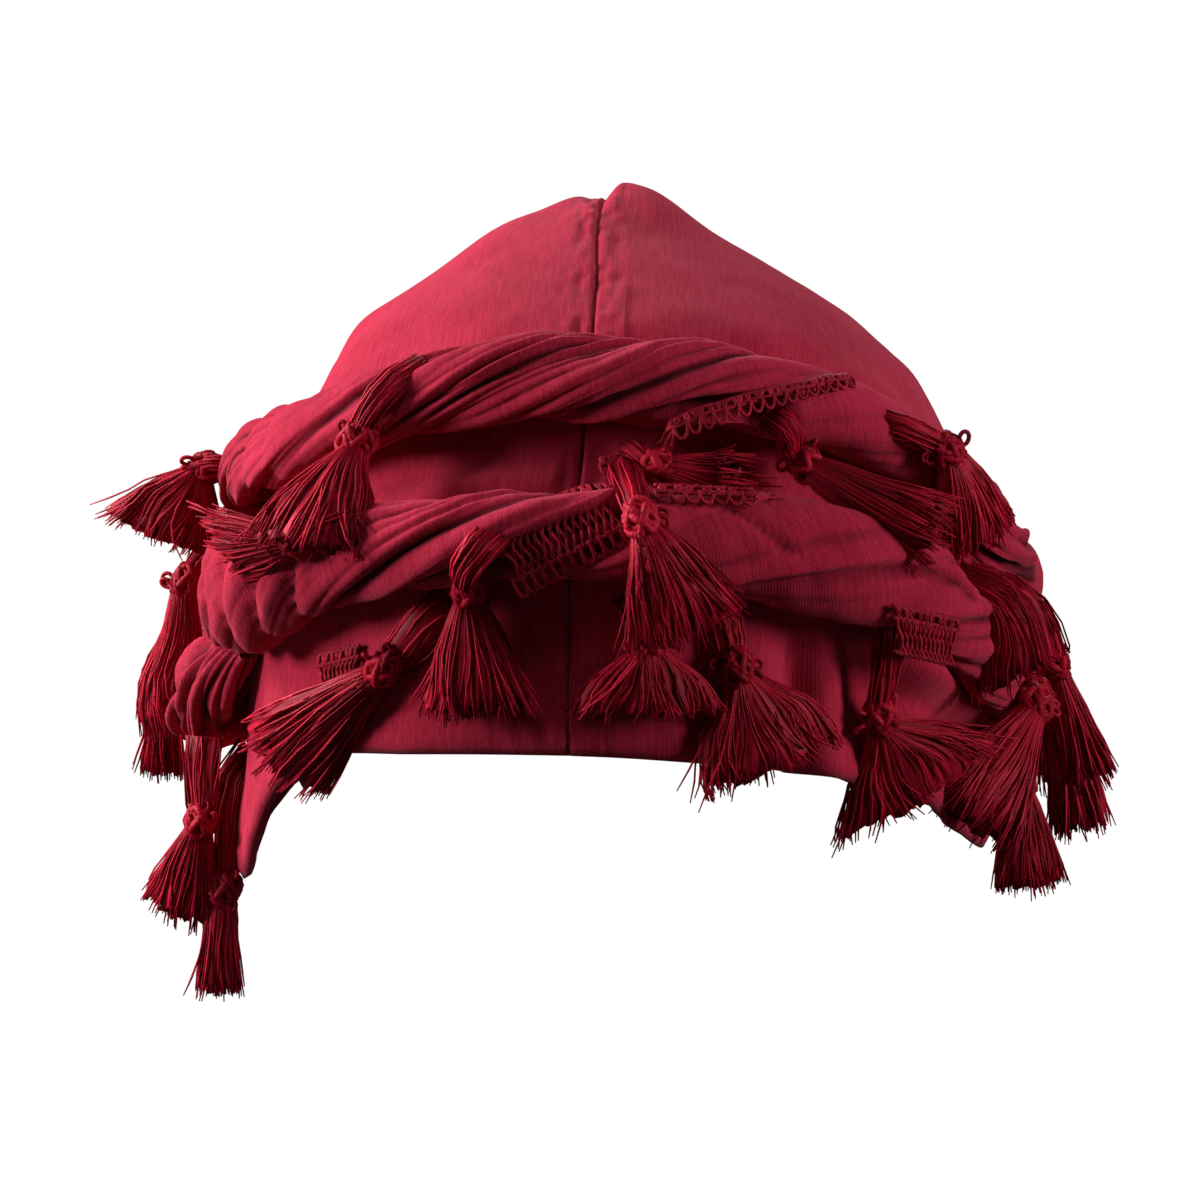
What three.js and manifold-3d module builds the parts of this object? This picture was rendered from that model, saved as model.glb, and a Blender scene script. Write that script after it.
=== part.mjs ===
// A tasselled turban durag, held as it is worn: a two-panel jersey cap, two twisted wraps round it,
// a roll round the nape, crocheted lace on the wraps' edges and a fringe of knotted tassels.
// Millimetres, +Z up. The front faces -Y and +X is on the right of someone who looks at the front.
// The origin is the middle of the head opening, level with the hem at the forehead.
import * as THREE from "three";
import { mergeVertices } from "three/addons/utils/BufferGeometryUtils.js";
import Module from "manifold-3d";

const wasm = await Module();
wasm.setup();

// ---------------------------------------------------------------- driving dimensions
const CLOTH = 1.6; // wall of the jersey cap
const GAP = 0.35; // air between two pieces that rest on each other
const DEPTH_RATIO = 1.22; // a head is this much deeper than it is wide
const BACK_FULLNESS = 0.16; // and its crown this much fuller behind than in front
const CAP_COLUMNS = 36; // sections round the whole cap
const WRAP_SECTIONS = 48; // sections round a whole wrap
const NAPE_SECTIONS = 24;
const LACE_THICKNESS = 1.2;
const LAP_TURN = 1440; // the folds of a wrap turn this far about its line in one lap, in degrees
const LACE_FALL = 0.35; // net that hangs past a wrap leans back to the head by this share of its drop

const BURGUNDY = 0x8e2238;
const CRIMSON = 0x6e0a18;

// The cap's outline from below the hem to the peak: half its width at each height.
const CAP_PROFILE = [
  { height: -40, halfWidth: 84.5 },
  { height: -20, halfWidth: 84 },
  { height: 0, halfWidth: 82.5 },
  { height: 20, halfWidth: 82 },
  { height: 40, halfWidth: 81 },
  { height: 55, halfWidth: 77 },
  { height: 66, halfWidth: 69.5 },
  { height: 78, halfWidth: 61 },
  { height: 88, halfWidth: 51.5 },
  { height: 97, halfWidth: 38.5 },
  { height: 105, halfWidth: 25.5 },
  { height: 110, halfWidth: 17 },
  { height: 114, halfWidth: 9 },
];
const PEAK = 116.6;

// The hem, round the head from the forehead (0 degrees): level over the brow, two points before the ears.
const HEM = [
  { at: -172, height: -15 },
  { at: -115, height: -17 },
  { at: -100, height: -25 },
  { at: -90, height: -33 },
  { at: -76, height: -36 },
  { at: -68, height: -32 },
  { at: -57, height: -14 },
  { at: -44, height: -4 },
  { at: -25, height: -1 },
  { at: 0, height: 0 },
  { at: 20, height: -2 },
  { at: 38, height: -6 },
  { at: 54, height: -13 },
  { at: 68, height: -21 },
  { at: 80, height: -28 },
  { at: 90, height: -27 },
  { at: 110, height: -17 },
  { at: 172, height: -15 },
];

// Each wrap, round the head: the height of its middle, half its height on the head, half its
// thickness off the head, and how far its folds have turned about its own line, in degrees.
const UPPER_WRAP = [
  { at: -180, height: 34, tall: 11, thick: 6.5, turn: -720 },
  { at: -135, height: 42, tall: 11, thick: 6.0, turn: -550 },
  { at: -90, height: 51, tall: 9.5, thick: 5.0, turn: -380 },
  { at: -55, height: 58, tall: 9.5, thick: 6.0, turn: -245 },
  { at: -36, height: 65, tall: 9.5, thick: 7.0, turn: -165 },
  { at: -15, height: 71, tall: 10, thick: 7.5, turn: -70 },
  { at: 5, height: 72, tall: 10, thick: 7.5, turn: 20 },
  { at: 22, height: 70.5, tall: 9.5, thick: 7.5, turn: 100 },
  { at: 40, height: 65, tall: 9, thick: 7.5, turn: 170 },
  { at: 55, height: 57, tall: 9.5, thick: 7.0, turn: 230 },
  { at: 72, height: 41, tall: 11, thick: 6.5, turn: 300 },
  { at: 90, height: 30, tall: 12, thick: 6.5, turn: 375 },
  { at: 135, height: 29, tall: 12, thick: 6.5, turn: 550 },
];
const LOWER_WRAP = [
  { at: -180, height: 11, tall: 11, thick: 6.5, turn: -720 },
  { at: -135, height: 18, tall: 12, thick: 6.0, turn: -590 },
  { at: -90, height: 26, tall: 12, thick: 5.0, turn: -455 },
  { at: -65, height: 29, tall: 12.5, thick: 7.0, turn: -345 },
  { at: -50, height: 31, tall: 12.5, thick: 8.0, turn: -265 },
  { at: -36, height: 37, tall: 10.5, thick: 8.0, turn: -180 },
  { at: -17, height: 42, tall: 9.5, thick: 8.0, turn: -80 },
  { at: 0, height: 43.5, tall: 9, thick: 8.0, turn: 15 },
  { at: 20, height: 42, tall: 11, thick: 8.5, turn: 110 },
  { at: 38, height: 37, tall: 12, thick: 9.0, turn: 175 },
  { at: 52, height: 31, tall: 11, thick: 8.0, turn: 225 },
  { at: 65, height: 20, tall: 11, thick: 6.5, turn: 290 },
  { at: 90, height: 6, tall: 11, thick: 5.5, turn: 390 },
  { at: 135, height: 5, tall: 11, thick: 6.5, turn: 560 },
];
// The roll at the nape, from behind the right ear (98) round the back to the left temple (299).
const NAPE_ROLL = [
  { at: 98, height: 0, tall: 3.5, thick: 2.5, turn: 0 },
  { at: 108, height: -6, tall: 6, thick: 4.5, turn: 60 },
  { at: 135, height: -9, tall: 7, thick: 6, turn: 190 },
  { at: 180, height: -8, tall: 7.5, thick: 6.5, turn: 400 },
  { at: 225, height: -4, tall: 10, thick: 7, turn: 620 },
  { at: 262, height: 2, tall: 13, thick: 9, turn: 790 },
  { at: 280, height: 4, tall: 14, thick: 9.5, turn: 880 },
  { at: 292, height: 12, tall: 10, thick: 6.5, turn: 950 },
  { at: 299, height: 18, tall: 3.5, thick: 3.0, turn: 990 },
];

// The folds round a wrap's section: where each begins, in degrees, and how deep its valley is,
// as a share of the radius. The last one ends in the cloth's free edge, which the lace is sewn to.
const FOLDS = [
  { from: 0, valley: 0.2 },
  { from: 80, valley: 0.14 },
  { from: 150, valley: 0.12 },
  { from: 225, valley: 0.14 },
  { from: 290, valley: 0.16 },
];
const FOLD_POINTS = [0, 0.3, 0.72]; // places across one fold where the section has a corner

// Lace: a strip of net from one place to another, [degrees round, height], with its free edge
// "drop" away, and how many open cells it has along and across.
const LACE = [
  { name: "lace_upper", from: [4, 62], to: [42, 69], drop: [1, -5], along: 10, across: 1 },
  { name: "lace_lower", from: [-9, 44], to: [5, 54], drop: [3, -9], along: 5, across: 2 },
  { name: "lace_middle", from: [11, 51], to: [23, 50], drop: [0, -4], along: 5, across: 1 },
  { name: "lace_right", from: [46, 27], to: [58, 23], drop: [2, -10], along: 5, across: 2 },
  { name: "lace_left", from: [-42, 18], to: [-33, 21], drop: [0, -8], along: 4, across: 1 },
];

// Tassels: where the yarn leaves the cloth [degrees round, height], where the knot is and where the
// tips end [degrees round, height, how far off the cloth below], half the width of the spread tips,
// and how far the fan of the skirt is turned out of the cloth, in degrees.
const TASSELS = [
  { from: [-80, 56], knot: [-88, 56, 4], tips: [-92, 45, 22], spread: 9, turned: 90 },
  { from: [-29, 79], knot: [-37, 65, 2], tips: [-35, 44, 3], spread: 10, turned: 0 },
  { from: [-52, 45], knot: [-60, 44, 2], tips: [-80, 37, 3], spread: 8, turned: 0 },
  { from: [-95, 46], knot: [-95, 36, 13], tips: [-95, -2, 10], spread: 6, turned: 75 },
  { from: [-104, 14], knot: [-104, 2, 14], tips: [-105, -17, 32], spread: 5, turned: 60 },
  { from: [-80, -6], knot: [-80, -23, 11], tips: [-82, -45, 13], spread: 7, turned: 60 },
  { from: [-75, -10], knot: [-75, -39, 3], tips: [-75, -60, 3], spread: 5, turned: 45 },
  { from: [8, 60], knot: [9, 49, 3], tips: [15, 26, 13], spread: 11, turned: 0 },
  { from: [-8, 46], knot: [-15, 31, 8], tips: [-12, 9, 4], spread: 12, turned: 0 },
  { from: [-24, 30], knot: [-32, 16, 3], tips: [-46, -4, 4], spread: 10, turned: 0 },
  { from: [9, 33], knot: [10, 24, 4], tips: [10, 9, 4], spread: 13, turned: 0 },
  { from: [21, 32], knot: [23, 18, 4], tips: [25, -4, 4], spread: 14, turned: 0 },
  { from: [10, 64], knot: [13, 59, 2], tips: [26, 55, 2], spread: 6, turned: 0 },
  { from: [43, 26], knot: [45, 6, 5], tips: [53, -17, 4], spread: 15, turned: 10 },
  { from: [30, 69], knot: [35, 59, 2], tips: [44, 44, 3], spread: 9, turned: 0 },
  { from: [46, 68], knot: [60, 60, 2], tips: [57, 37, 4], spread: 9, turned: 40 },
  { from: [63, 46], knot: [67, 34, 3], tips: [66, 12, 5], spread: 10, turned: 40 },
  { from: [84, 22], knot: [89, 12, 5], tips: [93, -16, 17], spread: 11, turned: 70 },
  { from: [99, 10], knot: [100, -3, 9], tips: [101, -28, 21], spread: 6, turned: 60 },
  { from: [78, 0], knot: [83, -14, 7], tips: [84, -37, 9], spread: 7, turned: 55 },
  { from: [82, 9], knot: [75, 5, 4], tips: [65, -14, 5], spread: 9, turned: 0 },
  { from: [118, 32], knot: [121, 17, 4], tips: [119, -6, 6], spread: 10, turned: 0 },
  { from: [143, 12], knot: [146, -3, 5], tips: [150, -24, 14], spread: 10, turned: 0 },
  { from: [166, 38], knot: [167, 22, 4], tips: [172, -1, 6], spread: 11, turned: 0 },
  { from: [-168, 14], knot: [-166, -2, 5], tips: [-167, -23, 14], spread: 10, turned: 0 },
  { from: [-147, 44], knot: [-145, 28, 4], tips: [-139, 6, 6], spread: 10, turned: 0 },
  { from: [-124, 24], knot: [-124, 7, 5], tips: [-120, -16, 14], spread: 10, turned: 0 },
];
// The outside of a tassel, ring by ring, "at" mm past the middle of its knot or a share of the way
// along its stem (below 0) or skirt: half widths across and through, and how deep its locks part.
const TASSEL_RINGS = [
  { part: "stem", at: 0, across: 1.3, through: 1.3, parted: 0 },
  { part: "stem", at: 0.5, across: 1.5, through: 1.4, parted: 0 },
  { part: "stem", at: 0.85, across: 1.7, through: 1.5, parted: 0 },
  { part: "knot", at: -1.5, across: 3.6, through: 2.6, parted: 0.1 },
  { part: "knot", at: 2, across: 3.4, through: 2.5, parted: 0.1 },
  { part: "skirt", at: 0.2, across: 2.1, through: 1.6, parted: 0 },
  { part: "skirt", at: 0.55, across: 0.7, through: 2.6, parted: 0.2 },
  { part: "skirt", at: 1, across: 1, through: 2.2, parted: 0.3 },
];
const LOCKS = 4; // locks of yarn that show on each face of a skirt
const ROOT = -2.5; // a stem begins this far inside the cloth, and is cut off where it comes out
const LOCK_TIP = 2.6; // how far a lock's tip reaches past the notch beside it

const rad = THREE.MathUtils.degToRad;

// ---------------------------------------------------------------- reading the tables

// A smooth curve through one column of a table, by cubic Hermite pieces. A table round the head
// is read with a period of 360 degrees.
function read(table, key, column, x, period = 0) {
  const n = table.length;
  if (period) x = table[0][key] + THREE.MathUtils.euclideanModulo(x - table[0][key], period);
  const row = (i) => {
    const lap = period ? Math.floor(i / n) : 0;
    const r = table[period ? THREE.MathUtils.euclideanModulo(i, n) : Math.min(Math.max(i, 0), n - 1)];
    const lapRise = lap && column === "turn" ? LAP_TURN * lap : 0;
    return [r[key] + lap * period, r[column] + lapRise];
  };
  let i = 0;
  while (i < (period ? n - 1 : n - 2) && row(i + 1)[0] < x) i++;
  const [[x0, y0], [x1, y1], [x2, y2], [x3, y3]] = [row(i - 1), row(i), row(i + 1), row(i + 2)];
  const slope = (xa, ya, xb, yb) => (xb === xa ? 0 : (yb - ya) / (xb - xa));
  const span = x2 - x1;
  const t = THREE.MathUtils.clamp((x - x1) / span, 0, 1);
  const m1 = slope(x0, y0, x2, y2) * span;
  const m2 = slope(x1, y1, x3, y3) * span;
  const t2 = t * t;
  const t3 = t2 * t;
  return (2 * t3 - 3 * t2 + 1) * y1 + (t3 - 2 * t2 + t) * m1 + (3 * t2 - 2 * t3) * y2 + (t3 - t2) * m2;
}

// ---------------------------------------------------------------- the head-shaped frame

const hemHeight = (angle) => read(HEM, "at", "height", angle, 360);
const capHalfWidth = (height) => read(CAP_PROFILE, "height", "halfWidth", height);

// The level outward direction at an angle round the head.
function outward(angle) {
  const a = rad(angle);
  return new THREE.Vector3(DEPTH_RATIO * Math.sin(a), -Math.cos(a), 0).normalize();
}

// A point on the cap's outer face, moved out along the face's own normal by "off". The crown is
// fuller at the back of the head than at the front.
function onCap(angle, height, off = 0) {
  const a = rad(angle);
  const half = capHalfWidth(height);
  const full = 1 + BACK_FULLNESS * Math.max(0, -Math.cos(a)) * Math.exp(-(((height - 84) / 26) ** 2));
  const point = new THREE.Vector3(half * Math.sin(a), -DEPTH_RATIO * half * full * Math.cos(a), height);
  return point.addScaledVector(capNormal(angle, height), off);
}

function capNormal(angle, height) {
  const step = 1.5;
  const slope = (capHalfWidth(height - step) - capHalfWidth(height + step)) / (2 * step);
  return outward(angle).add(new THREE.Vector3(0, 0, Math.min(slope, 1.4))).normalize();
}

// How far a wrap stands off the cap at a place: 0 where the wrap isn't.
function wrapCover(wrap, angle, height, period) {
  const tall = read(wrap, "at", "tall", angle, period);
  const thick = read(wrap, "at", "thick", angle, period);
  const up = (height - read(wrap, "at", "height", angle, period)) / tall;
  return Math.abs(up) >= 1 ? 0 : GAP + thick * (1 + Math.sqrt(1 - up * up));
}

// The outside of everything that is wound on the cap, measured off the cap.
function cover(angle, height) {
  const lap = THREE.MathUtils.euclideanModulo(angle, 360);
  const nape = lap > NAPE_ROLL[0].at && lap < NAPE_ROLL[NAPE_ROLL.length - 1].at;
  return Math.max(
    wrapCover(UPPER_WRAP, angle, height, 360),
    wrapCover(LOWER_WRAP, angle, height, 360),
    nape ? wrapCover(NAPE_ROLL, lap, height, 0) : 0,
  );
}

// ---------------------------------------------------------------- closed meshes from grids

// Turns points and triangles into a solid, turned the right way out. Points that fall together are
// made one, and triangles that lose a corner by that are left out.
function solidFrom(points, triangles) {
  const geometry = new THREE.BufferGeometry();
  const places = points.flatMap((p) => p.toArray());
  geometry.setAttribute("position", new THREE.Float32BufferAttribute(places, 3));
  geometry.setIndex(triangles);
  const merged = mergeVertices(geometry, 1e-3);
  const corners = merged.index.array;
  const whole = [];
  for (let i = 0; i < corners.length; i += 3) {
    const [a, b, c] = corners.slice(i, i + 3);
    if (a !== b && b !== c && c !== a) whole.push(a, b, c);
  }
  let triVerts = new Uint32Array(whole);
  const vertProperties = merged.attributes.position.array;
  const make = () => new wasm.Manifold(new wasm.Mesh({ numProp: 3, vertProperties, triVerts }));
  const solid = make();
  if (solid.volume() > 0) return solid;
  triVerts = triVerts.reverse();
  return make();
}

// Skins rows of points: each row is a ring, and rings follow each other. The ends are closed with
// a fan, or the last ring is joined to the first where "closed" is set.
function skin(rings, closed = false) {
  const n = rings[0].length;
  const points = rings.flat();
  const triangles = [];
  for (let i = 0; i < (closed ? rings.length : rings.length - 1); i++) {
    for (let j = 0; j < n; j++) {
      const a = i * n + j;
      const b = i * n + ((j + 1) % n);
      const c = ((i + 1) % rings.length) * n + j;
      const d = ((i + 1) % rings.length) * n + ((j + 1) % n);
      triangles.push(a, b, c, b, d, c);
    }
  }
  if (!closed) {
    const last = (rings.length - 1) * n;
    const middle = (ring) => ring.reduce((sum, p) => sum.add(p), new THREE.Vector3()).divideScalar(n);
    points.push(middle(rings[0]), middle(rings[rings.length - 1]));
    for (let j = 0; j < n; j++) {
      const k = (j + 1) % n;
      triangles.push(points.length - 2, k, j);
      triangles.push(points.length - 1, last + j, last + k);
    }
  }
  return solidFrom(points, triangles);
}

// A solid worked out in full, so that later cuts don't repeat the ones before them.
const settled = (solid) => new wasm.Manifold(solid.getMesh());

function boxesMeet(one, two) {
  const [a, b] = [one.boundingBox(), two.boundingBox()];
  return [0, 1, 2].every((k) => a.min[k] < b.max[k] && b.min[k] < a.max[k]);
}

// Cuts a solid clear of others and keeps its largest body.
function cutClear(solid, others) {
  let rest = solid;
  for (const other of others) {
    if (boxesMeet(rest, other)) rest = settled(rest.subtract(other));
  }
  return settled(rest.decompose().reduce((a, b) => (b.volume() > a.volume() ? b : a)));
}

function meshFrom(name, solid, colour, roughness) {
  const { numProp, numVert, vertProperties, triVerts } = solid.getMesh();
  const position = new Float32Array(numVert * 3);
  for (let i = 0; i < numVert; i++) {
    position.set(vertProperties.subarray(i * numProp, i * numProp + 3), i * 3);
  }
  const geometry = new THREE.BufferGeometry();
  geometry.setAttribute("position", new THREE.BufferAttribute(position, 3));
  geometry.setIndex(new THREE.BufferAttribute(triVerts, 1));
  geometry.computeVertexNormals();
  const material = new THREE.MeshStandardMaterial({ color: colour, roughness, metalness: 0 });
  const mesh = new THREE.Mesh(geometry, material);
  mesh.name = name;
  return mesh;
}

// ---------------------------------------------------------------- the cap

// The heights of one column of the cap, from its hem to the peak's shoulder.
function capHeights(angle) {
  const hem = hemHeight(angle);
  const low = [0, 0.35, 0.7].map((share) => hem + share * (30 - hem));
  return [...low, ...CAP_PROFILE.filter((row) => row.height > 30).map((row) => row.height)];
}

// Soft dents and folds of the loose crown, by how far they stand off the plain form.
function crownFold(angle, height) {
  const high = THREE.MathUtils.smoothstep(height, 84, 108);
  const leftHump = 3 * Math.exp(-(((angle + 84) / 42) ** 2)) * Math.exp(-(((height - 105) / 7) ** 2));
  const gathers = 0.9 * high * Math.cos(rad(5 * angle + 40));
  const sideFold = 1.1 * Math.exp(-(((height - 84) / 7) ** 2)) * Math.cos(rad(3 * angle - 60));
  return leftHump + gathers + sideFold;
}

// A wall between two skins, each a list of columns of points, closed round its border.
function wallSolid(outer, inner) {
  const [columns, rows] = [outer.length, outer[0].length];
  const last = columns - 1;
  const points = [...outer.flat(), ...inner.flat()];
  const at = (i, j, deep = 0) => deep * columns * rows + i * rows + j;
  const quads = [];
  for (let i = 0; i < columns - 1; i++) {
    for (let j = 0; j < rows - 1; j++) {
      quads.push([at(i, j), at(i + 1, j), at(i + 1, j + 1), at(i, j + 1)]);
      quads.push([at(i, j + 1, 1), at(i + 1, j + 1, 1), at(i + 1, j, 1), at(i, j, 1)]);
    }
    quads.push([at(i + 1, 0), at(i, 0), at(i, 0, 1), at(i + 1, 0, 1)]);
  }
  for (let j = 0; j < rows - 1; j++) {
    quads.push([at(0, j), at(0, j + 1), at(0, j + 1, 1), at(0, j, 1)]);
    quads.push([at(last, j + 1), at(last, j), at(last, j, 1), at(last, j + 1, 1)]);
  }
  return solidFrom(points, quads.flatMap(([a, b, c, d]) => [a, b, c, a, c, d]));
}

// One panel of the cap, from one seam to the other, moved "shift" mm off the seam.
function capPanel(fromAngle, toAngle, shift) {
  const columns = CAP_COLUMNS / 2;
  const skinAt = (depth) =>
    Array.from({ length: columns + 1 }, (_, i) => {
      const angle = THREE.MathUtils.lerp(fromAngle, toAngle, i / columns);
      const column = capHeights(angle).map((h) => onCap(angle, h, crownFold(angle, h) - depth));
      column.push(new THREE.Vector3(0, 0, PEAK - depth));
      return column.map((point) => point.setX(point.x + shift));
    });
  return wallSolid(skinAt(0), skinAt(CLOTH));
}

// ---------------------------------------------------------------- the wraps

// The radius of a wrap's section, as a share of the plain one, "turned" degrees round its folds.
// A fold rises quickly from its valley, rounds over and slopes down to the next.
function foldShare(turned) {
  const around = THREE.MathUtils.euclideanModulo(turned, 360);
  const i = FOLDS.findLastIndex((fold) => around >= fold.from);
  const next = (FOLDS[i + 1]?.from ?? 360) - FOLDS[i].from;
  const across = (around - FOLDS[i].from) / next;
  const rise = Math.sin(Math.PI * across ** 0.8);
  const valley = THREE.MathUtils.lerp(FOLDS[i].valley, FOLDS[(i + 1) % FOLDS.length].valley, across);
  return 1 - valley * (1 - rise);
}

// A place on a wrap's skin: "round" degrees about the wrap's own line, 0 outward and 90 up.
function onWrap(wrap, angle, round, period, grow = 0) {
  const height = read(wrap, "at", "height", angle, period);
  const tall = read(wrap, "at", "tall", angle, period) + grow;
  const thick = read(wrap, "at", "thick", angle, period) + grow;
  const turn = read(wrap, "at", "turn", angle, period);
  const out = capNormal(angle, height);
  const along = new THREE.Vector3(-out.y, out.x, 0).normalize();
  const up = out.clone().cross(along).negate();
  if (up.z < 0) up.negate();
  const share = foldShare(round - turn);
  return onCap(angle, height, GAP + thick - grow)
    .addScaledVector(out, share * thick * Math.cos(rad(round)))
    .addScaledVector(up, share * tall * Math.sin(rad(round)));
}

// A whole wrap. The corners of its section turn with the folds, so each valley is one smooth line.
function wrapSolid(wrap, sections, period, grow = 0) {
  const corners = FOLDS.flatMap((fold, i) => {
    const width = (FOLDS[i + 1]?.from ?? 360) - fold.from;
    return FOLD_POINTS.map((share) => fold.from + share * width);
  });
  const first = wrap[0].at;
  const sweep = period || wrap[wrap.length - 1].at - first;
  const steps = period ? sections : sections + 1;
  const rings = Array.from({ length: steps }, (_, i) => {
    const angle = first + (sweep * i) / sections;
    const turn = read(wrap, "at", "turn", angle, period);
    return corners.map((corner) => onWrap(wrap, angle, corner + turn, period, grow));
  });
  return skin(rings, Boolean(period));
}

// ---------------------------------------------------------------- lace

// A strip of net that lies on the wraps, GAP off the cloth: a grid of cells with every second one,
// in both directions, left open. The grown strip has no holes.
function laceSolid({ from, to, drop, along, across }, grow = 0) {
  const columns = 2 * along + 1;
  const rows = 2 * across + 1;
  const open = (i, j) => !grow && i % 2 === 1 && j % 2 === 1;
  const solidCell = (i, j) => i >= 0 && j >= 0 && i < columns && j < rows && !open(i, j);
  const offs = new Map(); // how far off the cap the net lies at each crossing, from its sewn edge down
  const place = (i, j, off) => {
    const [u, v] = [i / columns, j / rows].map((share) => share + grow * (share - 0.5) * 0.06);
    const angle = THREE.MathUtils.lerp(from[0], to[0], u) + v * drop[0];
    const height = THREE.MathUtils.lerp(from[1], to[1], u) + v * drop[1];
    const above = j ? offs.get(`${i},${j - 1}`) ?? 0 : 0;
    const rest = Math.max(cover(angle, height), above + (LACE_FALL * drop[1]) / rows);
    offs.set(`${i},${j}`, rest);
    return onCap(angle, height, rest + off);
  };
  const points = [];
  const triangles = [];
  const quad = (a, b, c, d) => {
    const n = points.length;
    points.push(a, b, c, d);
    triangles.push(n, n + 1, n + 2, n, n + 2, n + 3);
  };
  const [low, high] = [GAP - grow, GAP + LACE_THICKNESS + grow];
  for (let i = 0; i <= columns; i++) {
    for (let j = 0; j <= rows; j++) place(i, j, 0);
  }
  for (let i = 0; i < columns; i++) {
    for (let j = 0; j < rows; j++) {
      if (!solidCell(i, j)) continue;
      const corner = (di, dj, off) => place(i + di, j + dj, off);
      quad(corner(0, 0, high), corner(1, 0, high), corner(1, 1, high), corner(0, 1, high));
      quad(corner(0, 1, low), corner(1, 1, low), corner(1, 0, low), corner(0, 0, low));
      const wall = (di, dj, a, b) => {
        if (solidCell(i + di, j + dj)) return;
        quad(corner(...a, low), corner(...b, low), corner(...b, high), corner(...a, high));
      };
      wall(0, -1, [0, 0], [1, 0]);
      wall(1, 0, [1, 0], [1, 1]);
      wall(0, 1, [1, 1], [0, 1]);
      wall(-1, 0, [0, 1], [0, 0]);
    }
  }
  return solidFrom(points, triangles);
}

// ---------------------------------------------------------------- tassels

// A place on the way from a to b, each [degrees, height, lift]: yarn runs straight between its
// ends and goes round whatever stands in its way, "clear" off it.
function onStrand(a, b, share, clear) {
  const [angle, height] = [0, 1].map((k) => THREE.MathUtils.lerp(a[k], b[k], share));
  const [offA, offB] = [a, b].map((end) => cover(end[0], end[1]) + end[2]);
  const off = Math.max(THREE.MathUtils.lerp(offA, offB, share), cover(angle, height) + clear);
  return onCap(angle, height, off).setZ(height);
}

// One tassel: the yarn that leaves the wrap, a round knot and the locks of the skirt, as one skin.
function tasselSolid({ from, knot, tips, spread, turned }, grow = 0) {
  const out = outward(knot[0]);
  const root = [...from, ROOT];
  const heart = onStrand(root, knot, 1, 3);
  const end = onStrand(knot, tips, 1, 3);
  const down = end.clone().sub(heart).normalize();
  const line = TASSEL_RINGS.map(({ part, at }) => {
    if (part === "knot") return heart.clone().addScaledVector(down, at);
    return part === "stem" ? onStrand(root, knot, at, at ? 1.9 : ROOT) : onStrand(knot, tips, at, 3);
  });
  const rings = TASSEL_RINGS.map((ring, i) => {
    const next = line[Math.min(i + 1, line.length - 1)];
    const last = line[Math.max(i - 1, 0)];
    const tangent = next.clone().sub(last).normalize();
    const flat = tangent.clone().cross(out).normalize().applyAxisAngle(tangent, rad(turned));
    const face = flat.clone().cross(tangent).normalize();
    const across = (ring.part === "skirt" && ring.at > 0.3 ? ring.across * spread : ring.across) + grow;
    return Array.from({ length: 2 * LOCKS }, (_, k) => {
      const turn = rad((360 * k) / (2 * LOCKS));
      const notch = k % 2 ? 1 - ring.parted : 1;
      const droop = ring.at === 1 ? (k % 2 ? -LOCK_TIP : 0) + grow : 0;
      return line[i]
        .clone()
        .addScaledVector(flat, across * Math.cos(turn))
        .addScaledVector(face, (ring.through + grow) * notch * Math.sin(turn))
        .addScaledVector(tangent, droop);
    });
  });
  return skin(rings);
}

// ---------------------------------------------------------------- assembly

// What the wound pieces are cut clear of: the cap filled in, with GAP all round it.
const capBlock = skin(
  Array.from({ length: 13 }, (_, row) =>
    Array.from({ length: CAP_COLUMNS }, (_, i) => {
      const angle = -180 + (360 * i) / CAP_COLUMNS;
      const height = row ? capHeights(angle)[row - 1] : -70;
      return onCap(angle, height, crownFold(angle, height) + GAP);
    }),
  ),
);

const durag = new THREE.Group();
function add(name, solid, colour, roughness, clearOf = []) {
  durag.add(meshFrom(name, cutClear(solid, clearOf), colour, roughness));
}

const wrapBlocks = [
  wrapSolid(UPPER_WRAP, WRAP_SECTIONS, 360, GAP),
  wrapSolid(LOWER_WRAP, WRAP_SECTIONS, 360, GAP),
  wrapSolid(NAPE_ROLL, NAPE_SECTIONS, 0, GAP),
];
const [upperBlock, lowerBlock] = wrapBlocks;

add("cap_left_panel", capPanel(-180, 0, -GAP / 2), BURGUNDY, 0.85);
add("cap_right_panel", capPanel(0, 180, GAP / 2), BURGUNDY, 0.85);
add("upper_wrap", wrapSolid(UPPER_WRAP, WRAP_SECTIONS, 360), BURGUNDY, 0.85, [capBlock]);
add("lower_wrap", wrapSolid(LOWER_WRAP, WRAP_SECTIONS, 360), BURGUNDY, 0.85, [capBlock, upperBlock]);
add("nape_roll", wrapSolid(NAPE_ROLL, NAPE_SECTIONS, 0), BURGUNDY, 0.85, [capBlock, lowerBlock]);

const trim = []; // what is already hung on the wraps, grown by GAP
for (const row of LACE) {
  add(row.name, laceSolid(row), BURGUNDY, 0.8, [capBlock, ...wrapBlocks]);
  trim.push(laceSolid(row, GAP));
}
TASSELS.forEach((row, i) => {
  const name = `tassel_${String(i + 1).padStart(2, "0")}`;
  add(name, tasselSolid(row), CRIMSON, 0.45, [capBlock, ...wrapBlocks, ...trim]);
  trim.push(tasselSolid(row, GAP));
});

export default durag;
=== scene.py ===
# %% [markdown]
# # A tasselled turban durag
# The hat is a fitted cap of stretch jersey with two long twisted wraps wound round it, a third roll
# round the nape, crocheted edging on the wraps' free edges and a fringe of knotted tassels. The
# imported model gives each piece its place. This notebook dresses every piece: cloth with pleats and
# seams, crochet made of real thread, and tassels made of separate strands of yarn.
#
# Lengths in the tables are millimetres. The front faces -Y and +Z is up. "At" is the angle round
# the head, in degrees: 0 is the forehead and 90 is on the right of someone who looks at the front.

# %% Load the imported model
import math

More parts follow.
